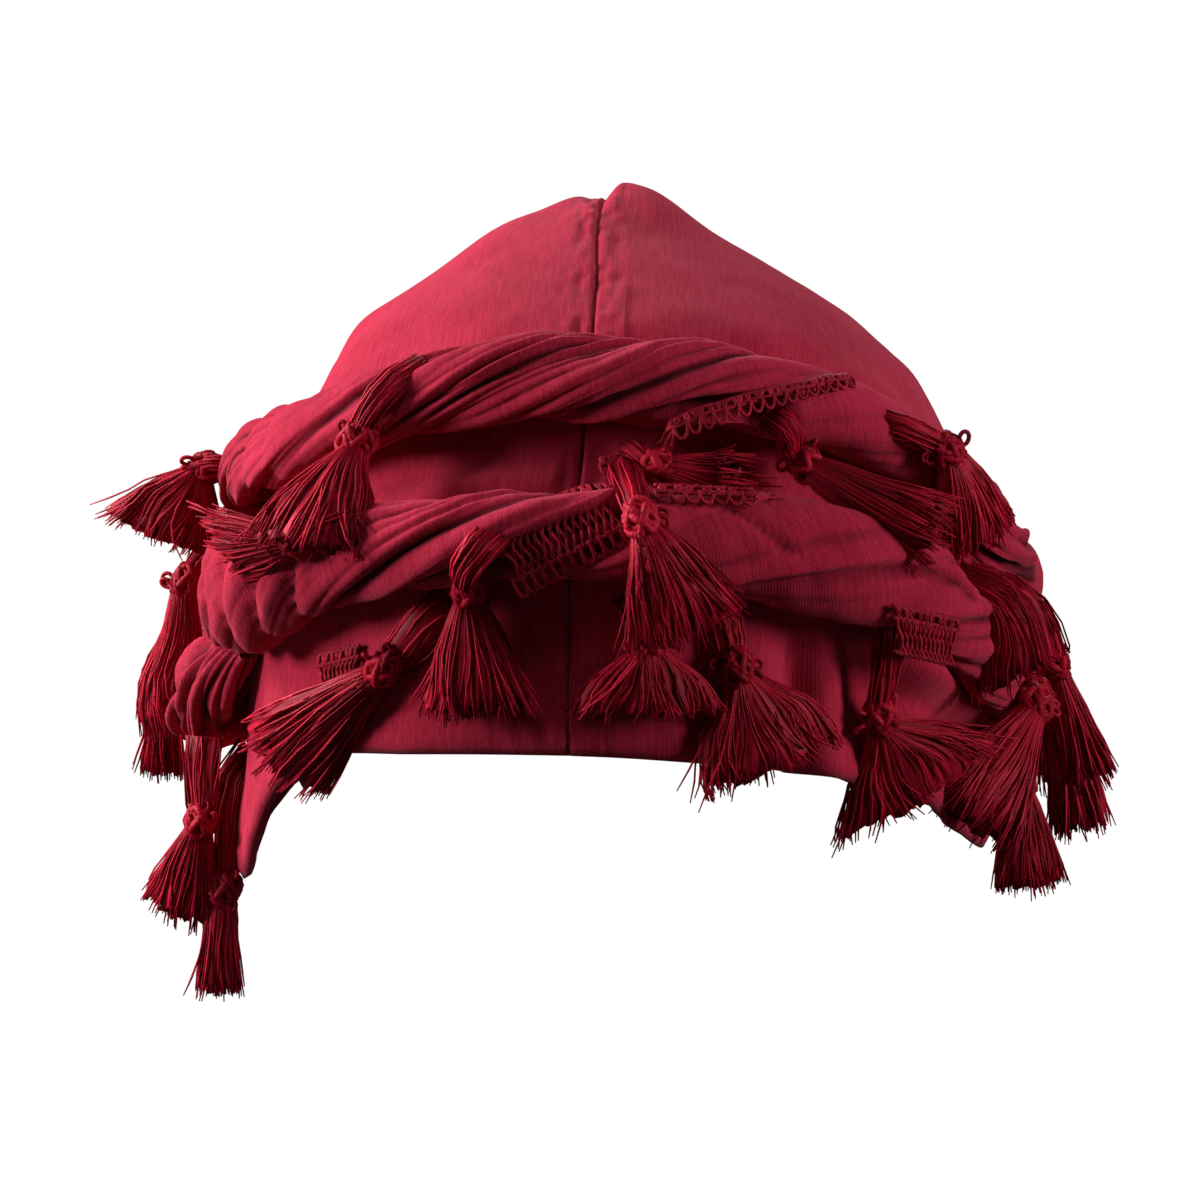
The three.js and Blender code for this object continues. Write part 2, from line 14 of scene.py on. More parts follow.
import bpy
import numpy as np
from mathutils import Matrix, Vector


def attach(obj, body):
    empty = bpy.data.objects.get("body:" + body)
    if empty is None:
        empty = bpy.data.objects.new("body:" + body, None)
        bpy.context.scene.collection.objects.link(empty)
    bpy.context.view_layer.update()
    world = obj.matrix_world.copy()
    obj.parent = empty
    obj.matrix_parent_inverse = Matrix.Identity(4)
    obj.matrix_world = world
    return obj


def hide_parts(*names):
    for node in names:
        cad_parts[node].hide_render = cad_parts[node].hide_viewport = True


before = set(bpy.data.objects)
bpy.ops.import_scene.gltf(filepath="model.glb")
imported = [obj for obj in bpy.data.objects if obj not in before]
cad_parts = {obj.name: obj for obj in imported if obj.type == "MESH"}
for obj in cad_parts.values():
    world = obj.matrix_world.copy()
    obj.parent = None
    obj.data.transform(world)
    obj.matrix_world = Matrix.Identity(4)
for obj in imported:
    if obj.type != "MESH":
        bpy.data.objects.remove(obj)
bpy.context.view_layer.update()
MM = 0.001  # metres in a millimetre

# %% [markdown]
# ## The camera
# It comes first, because every later choice of how fine a detail has to be depends on what it sees.
# A long lens from a metre away gives the flat view of a product picture, a little from the right
# and a little from above.

# %% Camera
TARGET = Vector((-3.98, -0.42, 24.8)) * MM
DISTANCE = 1000 * MM
AZIMUTH, ELEVATION = 6, 4  # degrees, from straight ahead and from level
LENS, FILM = 133.3, 36  # mm: at this distance they take in a square 270 mm wide


def place_facing(holder, azimuth, elevation, distance):
    """Puts a camera or lamp at an azimuth (0 is the front) and an elevation, facing the hat."""
    a, e = math.radians(azimuth), math.radians(elevation)
    way = Vector((math.sin(a) * math.cos(e), -math.cos(a) * math.cos(e), math.sin(e)))
    holder.location = TARGET + way * distance
    holder.rotation_euler = (-way).to_track_quat("-Z", "Y").to_euler()
    bpy.context.scene.collection.objects.link(holder)


camera_data = bpy.data.cameras.new("camera")
camera_data.lens, camera_data.sensor_width = LENS, FILM
camera = bpy.data.objects.new("camera", camera_data)
place_facing(camera, AZIMUTH, ELEVATION, DISTANCE)
bpy.context.scene.camera = camera
print("camera at", [round(x, 3) for x in camera.location])

# %% [markdown]
# ## The tables
# The rigid model is built from the same named sizes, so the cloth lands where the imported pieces
# are. A short table with a smooth curve through it is easier to read and to change than a formula.

# %% Sizes and tables
CLOTH = 1.6  # wall of the cap
GAP = 0.35  # air between two pieces that rest on each other
DEPTH_RATIO = 1.22  # a head is this much deeper than it is wide
BACK_FULLNESS = 0.16  # and its crown this much fuller behind than in front
PEAK = 116.6  # height of the cap's peak
LAP = 360  # degrees once round the head
LAP_TURN = 1440  # the folds of a wrap turn this far about its line in one lap


def rows(columns, *values):
    """A short table: one array for each named column."""
    return dict(zip(columns.split(), np.array(values, float).T))


# The cap's outline: half its width at each height.
CAP_PROFILE = rows(
    "at half_width", (-40, 84.5), (-20, 84), (0, 82.5), (20, 82), (40, 81), (55, 77), (66, 69.5),
    (78, 61), (88, 51.5), (97, 38.5), (105, 25.5), (110, 17), (114, 9))
HEM = rows(
    "at height", (-172, -15), (-115, -17), (-100, -25), (-90, -33), (-76, -36), (-68, -32),
    (-57, -14), (-44, -4), (-25, -1), (0, 0), (20, -2), (38, -6), (54, -13), (68, -21), (80, -28),
    (90, -27), (110, -17), (172, -15))
# Each wrap: the height of its middle, half its height, half its thickness, and how far its folds
# have turned about its own line.
UPPER_WRAP = rows(
    "at height tall thick turn", (-180, 34, 11, 6.5, -720), (-135, 42, 11, 6.0, -550),
    (-90, 51, 9.5, 5.0, -380), (-55, 58, 9.5, 6.0, -245), (-36, 65, 9.5, 7.0, -165),
    (-15, 71, 10, 7.5, -70), (5, 72, 10, 7.5, 20), (22, 70.5, 9.5, 7.5, 100), (40, 65, 9, 7.5, 170),
    (55, 57, 9.5, 7.0, 230), (72, 41, 11, 6.5, 300), (90, 30, 12, 6.5, 375),
    (135, 29, 12, 6.5, 550))
LOWER_WRAP = rows(
    "at height tall thick turn", (-180, 11, 11, 6.5, -720), (-135, 18, 12, 6.0, -590),
    (-90, 26, 12, 5.0, -455), (-65, 29, 12.5, 7.0, -345), (-50, 31, 12.5, 8.0, -265),
    (-36, 37, 10.5, 8.0, -180), (-17, 42, 9.5, 8.0, -80), (0, 43.5, 9, 8.0, 15),
    (20, 42, 11, 8.5, 110), (38, 37, 12, 9.0, 175), (52, 31, 11, 8.0, 225), (65, 20, 11, 6.5, 290),
    (90, 6, 11, 5.5, 390), (135, 5, 11, 6.5, 560))
# The roll at the nape, from behind the right ear (98) round the back to the left temple (299).
NAPE_ROLL = rows(
    "at height tall thick turn", (98, 0, 3.5, 2.5, 0), (108, -6, 6, 4.5, 60), (135, -9, 7, 6, 190),
    (180, -8, 7.5, 6.5, 400), (225, -4, 10, 7, 620), (262, 2, 13, 9, 790), (280, 4, 14, 9.5, 880),
    (292, 12, 10, 6.5, 950), (299, 18, 3.5, 3.0, 990))
WRAPS = {"upper_wrap": UPPER_WRAP, "lower_wrap": LOWER_WRAP, "nape_roll": NAPE_ROLL}


def read(table, column, at, lap=0, rise=0):
    """A smooth curve through one column: cubic Hermite pieces, whose slope at a row is the slope
    between the rows on each side of it. With a lap, the table repeats after it, "rise" higher."""
    key, value = table["at"], table[column]
    at = np.asarray(at, float)
    if lap:
        at = key[0] + np.mod(at - key[0], lap)
        key = np.concatenate([key[-1:] - lap, key, key[:2] + lap])
        value = np.concatenate([value[-1:] - rise, value, value[:2] + rise])
    else:
        key = np.concatenate([key[:1], key, key[-1:]])
        value = np.concatenate([value[:1], value, value[-1:]])
    i = np.clip(np.searchsorted(key[1:-1], at, side="right") - 1, 0, len(key) - 4)
    x0, x1, x2, x3 = (key[i + k] for k in range(4))
    y0, y1, y2, y3 = (value[i + k] for k in range(4))
    span = x2 - x1
    t = np.clip((at - x1) / span, 0, 1)
    slope_1 = (y2 - y0) / (x2 - x0) * span
    slope_2 = (y3 - y1) / (x3 - x1) * span
    return ((2 * t**3 - 3 * t**2 + 1) * y1 + (t**3 - 2 * t**2 + t) * slope_1
            + (3 * t**2 - 2 * t**3) * y2 + (t**3 - t**2) * slope_2)


print("hem at the temples:", read(HEM, "height", [-76, 84], LAP).round(1), "mm")

# %% [markdown]
# ## The head-shaped frame
# Everything on the hat is placed by an angle round the head, a height, and a distance off the cap.
# One function turns those three into a point, so a wrap, a strip of lace and a strand of yarn all
# follow the same head.

# %% Places on and off the cap


def outward(angle):
    """The level outward direction at an angle: the normal of an ellipse as deep as the head."""
    a = np.radians(angle)
    out = np.stack([DEPTH_RATIO * np.sin(a), -np.cos(a), 0 * a], -1)
    return out / np.linalg.norm(out, axis=-1, keepdims=True)


def half_width(height):
    """Half the cap's width at a height, from its table."""
    return read(CAP_PROFILE, "half_width", height)


def cap_normal(angle, height):
    """The level normal, tipped up by how fast the outline narrows, at most 1.4 in 1."""
    angle, height = np.broadcast_arrays(angle, height)
    slope = np.minimum((half_width(height - 1.5) - half_width(height + 1.5)) / 3, 1.4)
    normal = outward(angle)
    normal[..., 2] = slope
    return normal / np.linalg.norm(normal, axis=-1, keepdims=True)


def oval(angle, height, half):
    """A point of the head's oval: half wide, DEPTH_RATIO as deep, and fuller at the back of the
    crown by a bell curve of the height."""
    a = np.radians(angle)
    full = 1 + BACK_FULLNESS * np.maximum(0, -np.cos(a)) * np.exp(-(((height - 84) / 26) ** 2))
    return np.stack([half * np.sin(a), -DEPTH_RATIO * half * full * np.cos(a), height + 0 * a], -1)


def on_cap(angle, height, off=0.0):
    """The point at an angle and a height, moved "off" along the cap's normal."""
    angle, height, off = np.broadcast_arrays(np.asarray(angle, float), height, off)
    return oval(angle, height, half_width(height)) + cap_normal(angle, height) * off[..., None]


def wrap_at(wrap, angle, column):
    """One column of a wrap's table; the nape roll is the one that doesn't close."""
    lap = 0 if wrap is NAPE_ROLL else LAP
    return read(wrap, column, angle, lap, LAP_TURN if column == "turn" else 0)


def wraps_round(angle):
    """For each wrap: the angle within its table, the height of its middle, its half height, its
    half thickness, and whether it runs there at all."""
    for wrap in WRAPS.values():
        closed = wrap is not NAPE_ROLL
        at = angle if closed else np.mod(angle, LAP)
        there = closed | ((at > wrap["at"][0]) & (at < wrap["at"][-1]))
        yield at, *(wrap_at(wrap, at, column) for column in ("height", "tall", "thick")), there


def cover(angle, height):
    """How far the outside of the wraps stands off the cap: the highest of three half ovals."""
    angle, height = np.broadcast_arrays(np.asarray(angle, float), height)
    off = np.zeros(angle.shape)
    for _, middle, tall, thick, there in wraps_round(angle):
        up = (height - middle) / tall
        bulge = GAP + thick * (1 + np.sqrt(np.maximum(0, 1 - up**2)))
        off = np.maximum(off, np.where(there & (np.abs(up) < 1), bulge, 0))
    return off


def front_of(angle, z):
    """How far, along the level, the outermost cloth stands off the cap at a height. A wrap's
    section is an oval leaned by the cap's slope: a level line cuts it where the cosine of the turn
    from its highest point is the height above its middle, over half its height."""
    angle, z = np.broadcast_arrays(np.asarray(angle, float), z)
    best = np.zeros(angle.shape)
    for at, height, tall, thick, there in wraps_round(angle):
        lean = cap_normal(at, height)[..., 2]
        level = np.sqrt(1 - lean**2)
        highest = np.arctan2(tall * level, thick * lean)
        cut = (z - height - (GAP + thick) * lean) / np.hypot(thick * lean, tall * level)
        swing = np.arccos(np.clip(cut, -1, 1))
        far = np.maximum(*(thick * np.cos(t) * level - tall * np.sin(t) * lean
                           for t in (highest + swing, highest - swing)))
        off = half_width(height) + (GAP + thick) * level + far - half_width(z)
        best = np.maximum(best, np.where(there & (np.abs(cut) < 1), off, 0))
    return best


print("wraps stand off the forehead by", cover(0, np.array([43.5, 72.0])).round(1), "mm")

# %% [markdown]
# ## Meshes from grids and tubes
# A cloth is a grid of points and a thread is a tube round a line of points. These helpers turn
# whole arrays of them into a mesh at once, without a loop over vertices. The rest are the curves
# that shape the cloth.

# %% Mesh helpers


def grid_faces(columns, steps, closed=False):
    """Quads between neighbours of a grid. A closed grid joins its last column to its first. Also
    gives each corner's own (column, row), where the joined column still counts as a new one."""
    i, j = np.meshgrid(np.arange(columns - (not closed)), np.arange(steps - 1), indexing="ij")
    around = np.array([[0, 0], [1, 0], [1, 1], [0, 1]])
    corner = np.stack([i.ravel(), j.ravel()], -1)[:, None, :] + around
    return (corner[..., 0] % columns) * steps + corner[..., 1], corner


def new_piece(name, points, faces, material, uv=None, **values):
    """A smooth-shaded object from points in mm and lists of faces. "uv" holds places on the cloth
    in mm for the corners of the first faces, and the rest have none. Values are numbers kept
    on the points."""
    corners = np.concatenate([f.ravel() for f in faces]).astype(np.int32)
    sides = np.concatenate([np.full(len(f), f.shape[1]) for f in faces])
    starts = np.concatenate([[0], np.cumsum(sides)[:-1]]).astype(np.int32)
    mesh = bpy.data.meshes.new(name)
    mesh.vertices.add(len(points))
    mesh.vertices.foreach_set("co", (points * MM).astype(np.float32).ravel())
    mesh.loops.add(len(corners))
    mesh.loops.foreach_set("vertex_index", corners)
    mesh.polygons.add(len(sides))
    mesh.polygons.foreach_set("loop_start", starts)
    mesh.update(calc_edges=True)
    mesh.shade_smooth()
    if uv is not None:
        flat = np.zeros((len(corners), 2))
        flat[: uv.reshape(-1, 2).shape[0]] = uv.reshape(-1, 2) * MM
        mesh.uv_layers.new(name="cloth").data.foreach_set("uv", flat.astype(np.float32).ravel())
    for key, value in values.items():
        layer = mesh.attributes.new(key, "FLOAT", "POINT")
        layer.data.foreach_set("value", np.asarray(value, np.float32).ravel())
    mesh.materials.append(material)
    piece = bpy.data.objects.new(name, mesh)
    bpy.context.scene.collection.objects.link(piece)
    return piece


def unit(v):
    """Vectors cut or stretched to length 1."""
    return v / np.maximum(np.linalg.norm(v, axis=-1, keepdims=True), 1e-9)


def tubes(lines, radius, sides, reference):
    """Tubes round many lines at once. Each ring of points turns round the line's tangent, from a
    sideways direction that is square to the tangent and the reference. The ends are closed.
    Lines are (how many, points, 3); returns points and faces."""
    count, steps = lines.shape[:2]
    tangent = unit(np.gradient(lines, axis=1))
    side = unit(np.cross(tangent, np.broadcast_to(reference, lines.shape)))
    top = np.cross(side, tangent)
    turn = 2 * np.pi * np.arange(sides) / sides
    ring = np.cos(turn)[:, None] * side[:, :, None, :] + np.sin(turn)[:, None] * top[:, :, None, :]
    radius = np.broadcast_to(radius, (count, steps))[:, :, None, None]
    points = (lines[:, :, None, :] + radius * ring).reshape(-1, 3)
    base = np.arange(count)[:, None, None, None] * steps * sides
    j, k = np.meshgrid(np.arange(steps - 1), np.arange(sides), indexing="ij")
    following = (k + 1) % sides
    quad = np.stack([j * sides + k, (j + 1) * sides + k, (j + 1) * sides + following,
                     j * sides + following], -1)
    first = np.arange(count)[:, None] * steps * sides + np.arange(sides)
    last = first[:, ::-1] + (steps - 1) * sides
    return points, [(quad[None] + base).reshape(-1, 4), first, last]


def waviness(points, wavelength, seed):
    """Soft random waves, about -1 to 1: a sum of cosines that run through space in random
    directions, each about one wavelength long. It has no seam, as it reads places, not angles."""
    random = np.random.default_rng(seed)
    ways = unit(random.normal(size=(12, 3))) * random.uniform(0.6, 1.4, (12, 1))
    phase = random.uniform(0, 2 * np.pi, 12)
    return np.cos(points @ ways.T * (2 * np.pi / wavelength) + phase).sum(-1) / 3.5


def bell(x, middle, width):
    """A bell curve: e to the minus square of the distance from its middle, in widths."""
    return np.exp(-(((x - middle) / width) ** 2))


def smooth_step(x, low, high):
    """0 below low, 1 above high, and a cubic that eases in and out between them."""
    t = np.clip((x - low) / (high - low), 0, 1)
    return t * t * (3 - 2 * t)


def plateau(x, low, full, last, end):
    """1 from full to last, easing out to 0 at low and at end."""
    return smooth_step(x, low, full) * (1 - smooth_step(x, last, end))


def way_along(lines):
    """The distance walked from the start of each line to each of its points."""
    return np.linalg.norm(np.diff(lines, axis=1, prepend=lines[:, :1]), axis=-1).cumsum(1)


def polar(turn):
    """Points on the unit circle."""
    return np.stack([np.cos(turn), np.sin(turn)], -1)


def triangles(piece):
    """How many triangles a piece has, modifiers included."""
    ready = piece.evaluated_get(bpy.context.evaluated_depsgraph_get())
    return sum(len(p.vertices) - 2 for p in ready.data.polygons)


print("a grid of 3 by 3 has", len(grid_faces(3, 3)[0]), "quads")

# %% [markdown]
# ## The finishes
# Three finishes cover the hat. The cap and the wraps are **rayon jersey**: a fine knit, matt with a
# soft bloom where light grazes it. The tassels are **rayon yarn**: smooth and a deeper red, with a
# shade of its own for each strand. The edging is **mercerised cotton crochet thread**: darker,
# round and only a little glossy.

# %% Colours and nodes


def linear(code):
    """A screen colour such as "8e2238" as linear light, by the sRGB curve, with alpha 1."""
    value = np.array([int(code[k : k + 2], 16) / 255 for k in (0, 2, 4)])
    light = np.where(value <= 0.04045, value / 12.92, ((value + 0.055) / 1.055) ** 2.4)
    return (*light, 1.0)


def add_node(tree, kind, links=None, values=None, **settings):
    """Adds a node. Settings name its options, or its inputs with _ for a space. By name or number,
    links say which output feeds which input, and values which input holds which constant."""
    node = tree.nodes.new("ShaderNode" + kind)
    for key, value in settings.items():
        if hasattr(node, key):
            setattr(node, key, value)
        else:
            node.inputs[key.replace("_", " ")].default_value = value
    for key, value in (values or {}).items():
        node.inputs[key].default_value = value
    for key, socket in (links or {}).items():
        tree.links.new(socket, node.inputs[key])
    return node


def add_math(tree, operation, first, second=None, third=None):
    """A Math node's output. Each of its inputs is another node's output or a plain number."""
    given = {k: v for k, v in enumerate((first, second, third)) if v is not None}
    plain = {k: v for k, v in given.items() if isinstance(v, (int, float))}
    linked = {k: v for k, v in given.items() if k not in plain}
    return add_node(tree, "Math", linked, plain, operation=operation).outputs[0]


def new_finish(name):
    """An empty material, and its node tree with only the output in it."""
    finish = bpy.data.materials.new(name)
    finish.use_nodes = True
    tree = finish.node_tree
    for node in [n for n in tree.nodes if n.type != "OUTPUT_MATERIAL"]:
        tree.nodes.remove(node)
    return finish, tree


def end_with(tree, shader):
    """Joins the last shader to the material's output."""
    tree.links.new(shader.outputs[0], tree.nodes["Material Output"].inputs[0])


print("jersey red as linear light:", [round(float(x), 3) for x in linear("b82945")])

# %% Rayon jersey
WALE = 0.62  # mm between two ribs of the knit. The real one is about 0.4: drawn wide enough to show
FIBRE = 0.5  # mm between flecks of fibre
STREAKS = (1100, 160, 1)  # in a metre, across and along the cloth: each about 0.9 mm by 6 mm
PATCH = 35  # mm between patches of wear
JERSEY_CONTRAST = 1.6  # how strongly flecks, streaks and patches move the shade
FLECK_HEIGHT = 3.0  # a fleck stands this much higher than a rib


def jersey_finish(name, shade, light, hollow):
    """Knit cloth: ribs along the length of the cloth, flecked by fibres, over soft patches of wear.
    The sheen is the bloom of fine loose fibres, and gives the pale pink edge of a lit fold. In a
    crease the colour is pulled towards the hollow colour by the number "deep": painted shade, for
    creases finer than the mesh can shadow."""
    finish, tree = new_finish(name)
    place = add_node(tree, "UVMap", uv_map="cloth").outputs["UV"]
    ribs = add_node(tree, "TexWave", {"Vector": place}, bands_direction="X", Distortion=1.6,
                    Scale=2 * math.pi / (20 * WALE * MM), Detail=2.0, Detail_Scale=1.5)
    flecks = add_node(tree, "TexNoise", {"Vector": place}, Scale=1 / (FIBRE * MM), Detail=3.0)
    stretched = add_node(tree, "Mapping", {"Vector": place}, Scale=STREAKS)
    streaks = add_node(tree, "TexNoise", {"Vector": stretched.outputs[0]}, Scale=1.0, Detail=2.0)
    body = add_node(tree, "TexCoord").outputs["Object"]
    patches = add_node(tree, "TexNoise", {"Vector": body}, Scale=1 / (PATCH * MM), Detail=2.0)
    # Each noise is 0.5 on average, so this keeps the middle of the three at 0.5.
    tone = add_math(tree, "ADD", streaks.outputs[0], patches.outputs[0])
    tone = add_math(tree, "ADD", tone, flecks.outputs[0])
    tone = add_math(tree, "MULTIPLY_ADD", tone, JERSEY_CONTRAST, 0.5 - 1.5 * JERSEY_CONTRAST)
    colour = add_node(tree, "Mix", {0: tone}, {6: linear(shade), 7: linear(light)},
                      data_type="RGBA")
    # Painted shade: in creases, by the number "deep", the colour turns towards the hollow colour.
    deep = add_node(tree, "Attribute", attribute_name="deep").outputs["Fac"]
    crease = add_node(tree, "Mix", {0: deep, 6: colour.outputs[2]}, {7: linear(hollow)},
                      data_type="RGBA")
    relief = add_math(tree, "MULTIPLY_ADD", flecks.outputs[0], FLECK_HEIGHT, ribs.outputs["Fac"])
    bump = add_node(tree, "Bump", {"Height": relief}, Strength=0.28, Distance=0.12 * MM)
    cloth = add_node(tree, "BsdfPrincipled",
                     {"Base Color": crease.outputs[2], "Normal": bump.outputs[0]},
                     {"Specular IOR Level": 0.06, "Sheen Weight": 0.11, "Sheen Roughness": 0.5,
                      "Sheen Tint": linear("f7b4c4")}, Roughness=0.9)
    end_with(tree, cloth)
    return finish


# The third colour is the painted shade of the wraps' creases.
JERSEY = jersey_finish("rayon_jersey", "94162c", "b82945", "4a0715")
print(JERSEY.name, len(JERSEY.node_tree.nodes), "nodes")

# %% Rayon yarn and crochet thread
FILAMENT = 0.4  # mm between two strands of a bunch
FILAMENT_CONTRAST = 4.0  # how strongly the filaments move the shade of a bunch
YARN_DEPTH = 0.05  # how much deeper than its strand's own shade the yarn is on average
FILAMENT_HEIGHT = 12.0  # a filament stands this much higher than a turn of the twist


def yarn_finish(name, shades, roughness, gloss, sheen, ply):
    """Thread: each strand keeps its own shade from the number "shade" on its points, and fine
    twist shows as slanting bumps "ply" mm apart along it. Where a bunch is one surface, its cloth
    map draws the filaments: noise that is FILAMENT wide and thirty times as long."""
    finish, tree = new_finish(name)
    shade = add_node(tree, "Attribute", attribute_name="shade").outputs["Fac"]
    along = add_node(tree, "Attribute", attribute_name="along").outputs["Fac"]
    place = add_node(tree, "UVMap", uv_map="cloth").outputs["UV"]
    stretched = add_node(tree, "Mapping", {"Vector": place},
                         Scale=(1 / (FILAMENT * MM), 1 / (30 * FILAMENT * MM), 1))
    noise = add_node(tree, "TexNoise", {"Vector": stretched.outputs[0]}, Scale=1.0, Detail=1.0)
    filaments = noise.outputs[0]
    mixed = add_math(tree, "MULTIPLY_ADD", filaments, FILAMENT_CONTRAST, shade)
    mixed = add_math(tree, "SUBTRACT", mixed, FILAMENT_CONTRAST / 2 + YARN_DEPTH)
    ramp = add_node(tree, "ValToRGB", {0: mixed})
    ramp.color_ramp.elements.new(0.5)
    for stop, code in zip(ramp.color_ramp.elements, shades):
        stop.color = linear(code)
    twist = add_math(tree, "SINE", add_math(tree, "MULTIPLY", along, 2 * math.pi / ply))
    relief = add_math(tree, "MULTIPLY_ADD", filaments, FILAMENT_HEIGHT, twist)
    bump = add_node(tree, "Bump", {"Height": relief}, Strength=0.3, Distance=0.06 * MM)
    thread = add_node(tree, "BsdfPrincipled",
                      {"Base Color": ramp.outputs[0], "Normal": bump.outputs[0]},
                      {"Specular IOR Level": gloss, "Sheen Weight": sheen, "Sheen Roughness": 0.3,
                       "Sheen Tint": linear("ff5a78")}, Roughness=roughness)
    end_with(tree, thread)
    return finish


YARN = yarn_finish("rayon_tassel_yarn", ("7a051c", "a50f27", "cc213d"), 0.5, 0.08, 0.03, 0.9)
THREAD = yarn_finish("mercerised_crochet_thread", ("7a0e20", "9a162c", "b8203a"), 0.6, 0.1, 0.03,
                     0.7)
print(YARN.name, "and", THREAD.name, len(YARN.node_tree.nodes), "nodes each")

# %% [markdown]
# ## The cap
# Two panels of stretch jersey meet in one seam from the forehead over the peak to the nape. Each
# could be a sphere cut in half and pushed about, but the outline is a table, so each panel is a
# grid of (angle, height) laid on the head's oval and moved along its own normal: a sunk seam, the
# allowance that shows through beside it, gathers at the peak, a turned hem with its stitching and
# the loose folds of the brow. Solidify then gives the cloth its wall.

# %% The cap's grid
SIDE_ROWS, TOP_ROWS, PANEL_COLUMNS = 98, 20, 180
SHOULDER = 110.0  # height where the rows turn in to close the peak
# How far the front seam is pulled aside at each height.
SEAM_PULL = rows(
    "at aside", (50, 0), (72, 1.3), (82, 1.7), (96, 0.3), (108, -2), (116, -2.6))


def cap_grid(angles):
    """Heights and half widths of the grid. From the hem to the shoulder they are the outline's,
    and from there the half width shrinks evenly while the height closes on the peak by a power."""
    hem = read(HEM, "height", angles, LAP)[:, None]
    share = np.linspace(0, 1, SIDE_ROWS) ** 0.9
    side = hem + share * (SHOULDER - hem)
    shoulder = half_width(SHOULDER)
    closing = 1 - np.arange(1, TOP_ROWS + 1) / TOP_ROWS
    top = np.tile(PEAK - (PEAK - SHOULDER) * closing**1.6, (len(angles), 1))
    inwards = np.tile(shoulder * closing, (len(angles), 1))
    return np.concatenate([side, top], 1), np.concatenate([half_width(side), inwards], 1)


print("rows up a panel:", SIDE_ROWS + TOP_ROWS, "columns:", PANEL_COLUMNS)

# %% Dents and folds of the cap
# The upright folds of the loose cloth at the right of the brow: where each is, its width and how
# far it stands out, or in if the number is negative.
BROW_FOLDS = ((27, 4, 2.0), (33.6, 2, -4.2), (38.2, 3, 3.0), (57, 4.5, 2.8), (51, 1.8, -2.6),
              (69, 3, -1.5), (21, 4, -0.9))


def loose_form(angle, height, half, point):
    """The cloth's own fullness: swells at both sides and at the left of the peak, gathers that run
    up to it, and slow random waves, calmer near the top."""
    round_head = smooth_step(half, 1, 9)  # fades whatever depends on the angle towards the peak
    swell = round_head * 3 * bell(angle, -84, 42) * bell(height, 105, 7)
    swell += 2.6 * bell(height, 84, 14) * bell(angle, -90, 50)
    swell += 2.4 * bell(height, 76, 16) * bell(angle, 90, 50)
    gathers = round_head * smooth_step(height, 84, 108) * np.cos(np.radians(5 * angle + 40))
    ripple = bell(height, 84, 7) * np.cos(np.radians(3 * angle - 60))
    waves = 0.4 * waviness(point, 34, 1) + 0.15 * waviness(point, 13, 2)
    return swell + 0.4 * gathers + 1.1 * ripple + waves * (1 - 0.5 * smooth_step(height, 80, 100))


def seam_dent(angle, height, point):
    """The seam: a narrow groove in a wide one, small puckers beside it, and in front the allowance
    that is turned to the right under the cloth, 7 mm wide and 96 mm up."""
    x = point[..., 0]
    groove = 0.8 * bell(np.abs(x), 0, 0.6) + 0.35 * bell(np.abs(x), 0, 5)
    puckers = 0.3 * bell(np.abs(x), 3, 3) * waviness(point, 5, 3)
    allowance = smooth_step(-x, -7.4, -6.6) * (x > 0) * (np.cos(np.radians(angle)) > 0)
    return puckers - groove + 0.3 * allowance * smooth_step(96 - height, 0, 1)


def sunk_between(angle, height):
    """The cloth sinks between the two wraps, by a sine of the way from one to the other: deeper at
    the right of the forehead, and less deep half way up at its left."""
    low, high = (wrap_at(wrap, angle, "height") for wrap in (LOWER_WRAP, UPPER_WRAP))
    way = np.clip((height - low) / (high - low), 0, 1)
    raised = 0.45 * bell(way, 0.5, 0.16) * bell(angle, -22, 22)
    return -6.5 * np.sin(np.pi * way) ** 0.7 * (1 - raised + 0.7 * bell(angle, 24, 18))


def turned_hem(angle, height, point):
    """The hem: two layers thick, with a sunk line of stitching 9 mm up, puckers along it and an
    edge that curls in."""
    above = height - read(HEM, "height", angle, LAP)
    return (0.5 * bell(above, 4.5, 4) - 0.45 * bell(above, 9, 0.8)
            + 0.28 * waviness(point, 4.5, 4) * bell(above, 8, 5) - 1.1 * bell(above, 0, 0.9))


def brow_folds(angle, height):
    """The upright folds, which fade out between 12 and 34 mm up, and further right a ridge with a
    dip below it that slopes down round the temple."""
    upright = sum(out * bell(angle, at, width) for at, width, out in BROW_FOLDS)
    above = height - 17 + 0.55 * (angle - 52)
    sloping = (4.5 * bell(above, 0, 4) - 2 * bell(above, -8, 2.5)) * plateau(angle, 46, 54, 80, 95)
    return upright * smooth_step(34 - height, 0, 22) + sloping


print("sunk between the wraps, at the forehead:", float(sunk_between(0, 57.0).round(1)), "mm")

# %% Panels


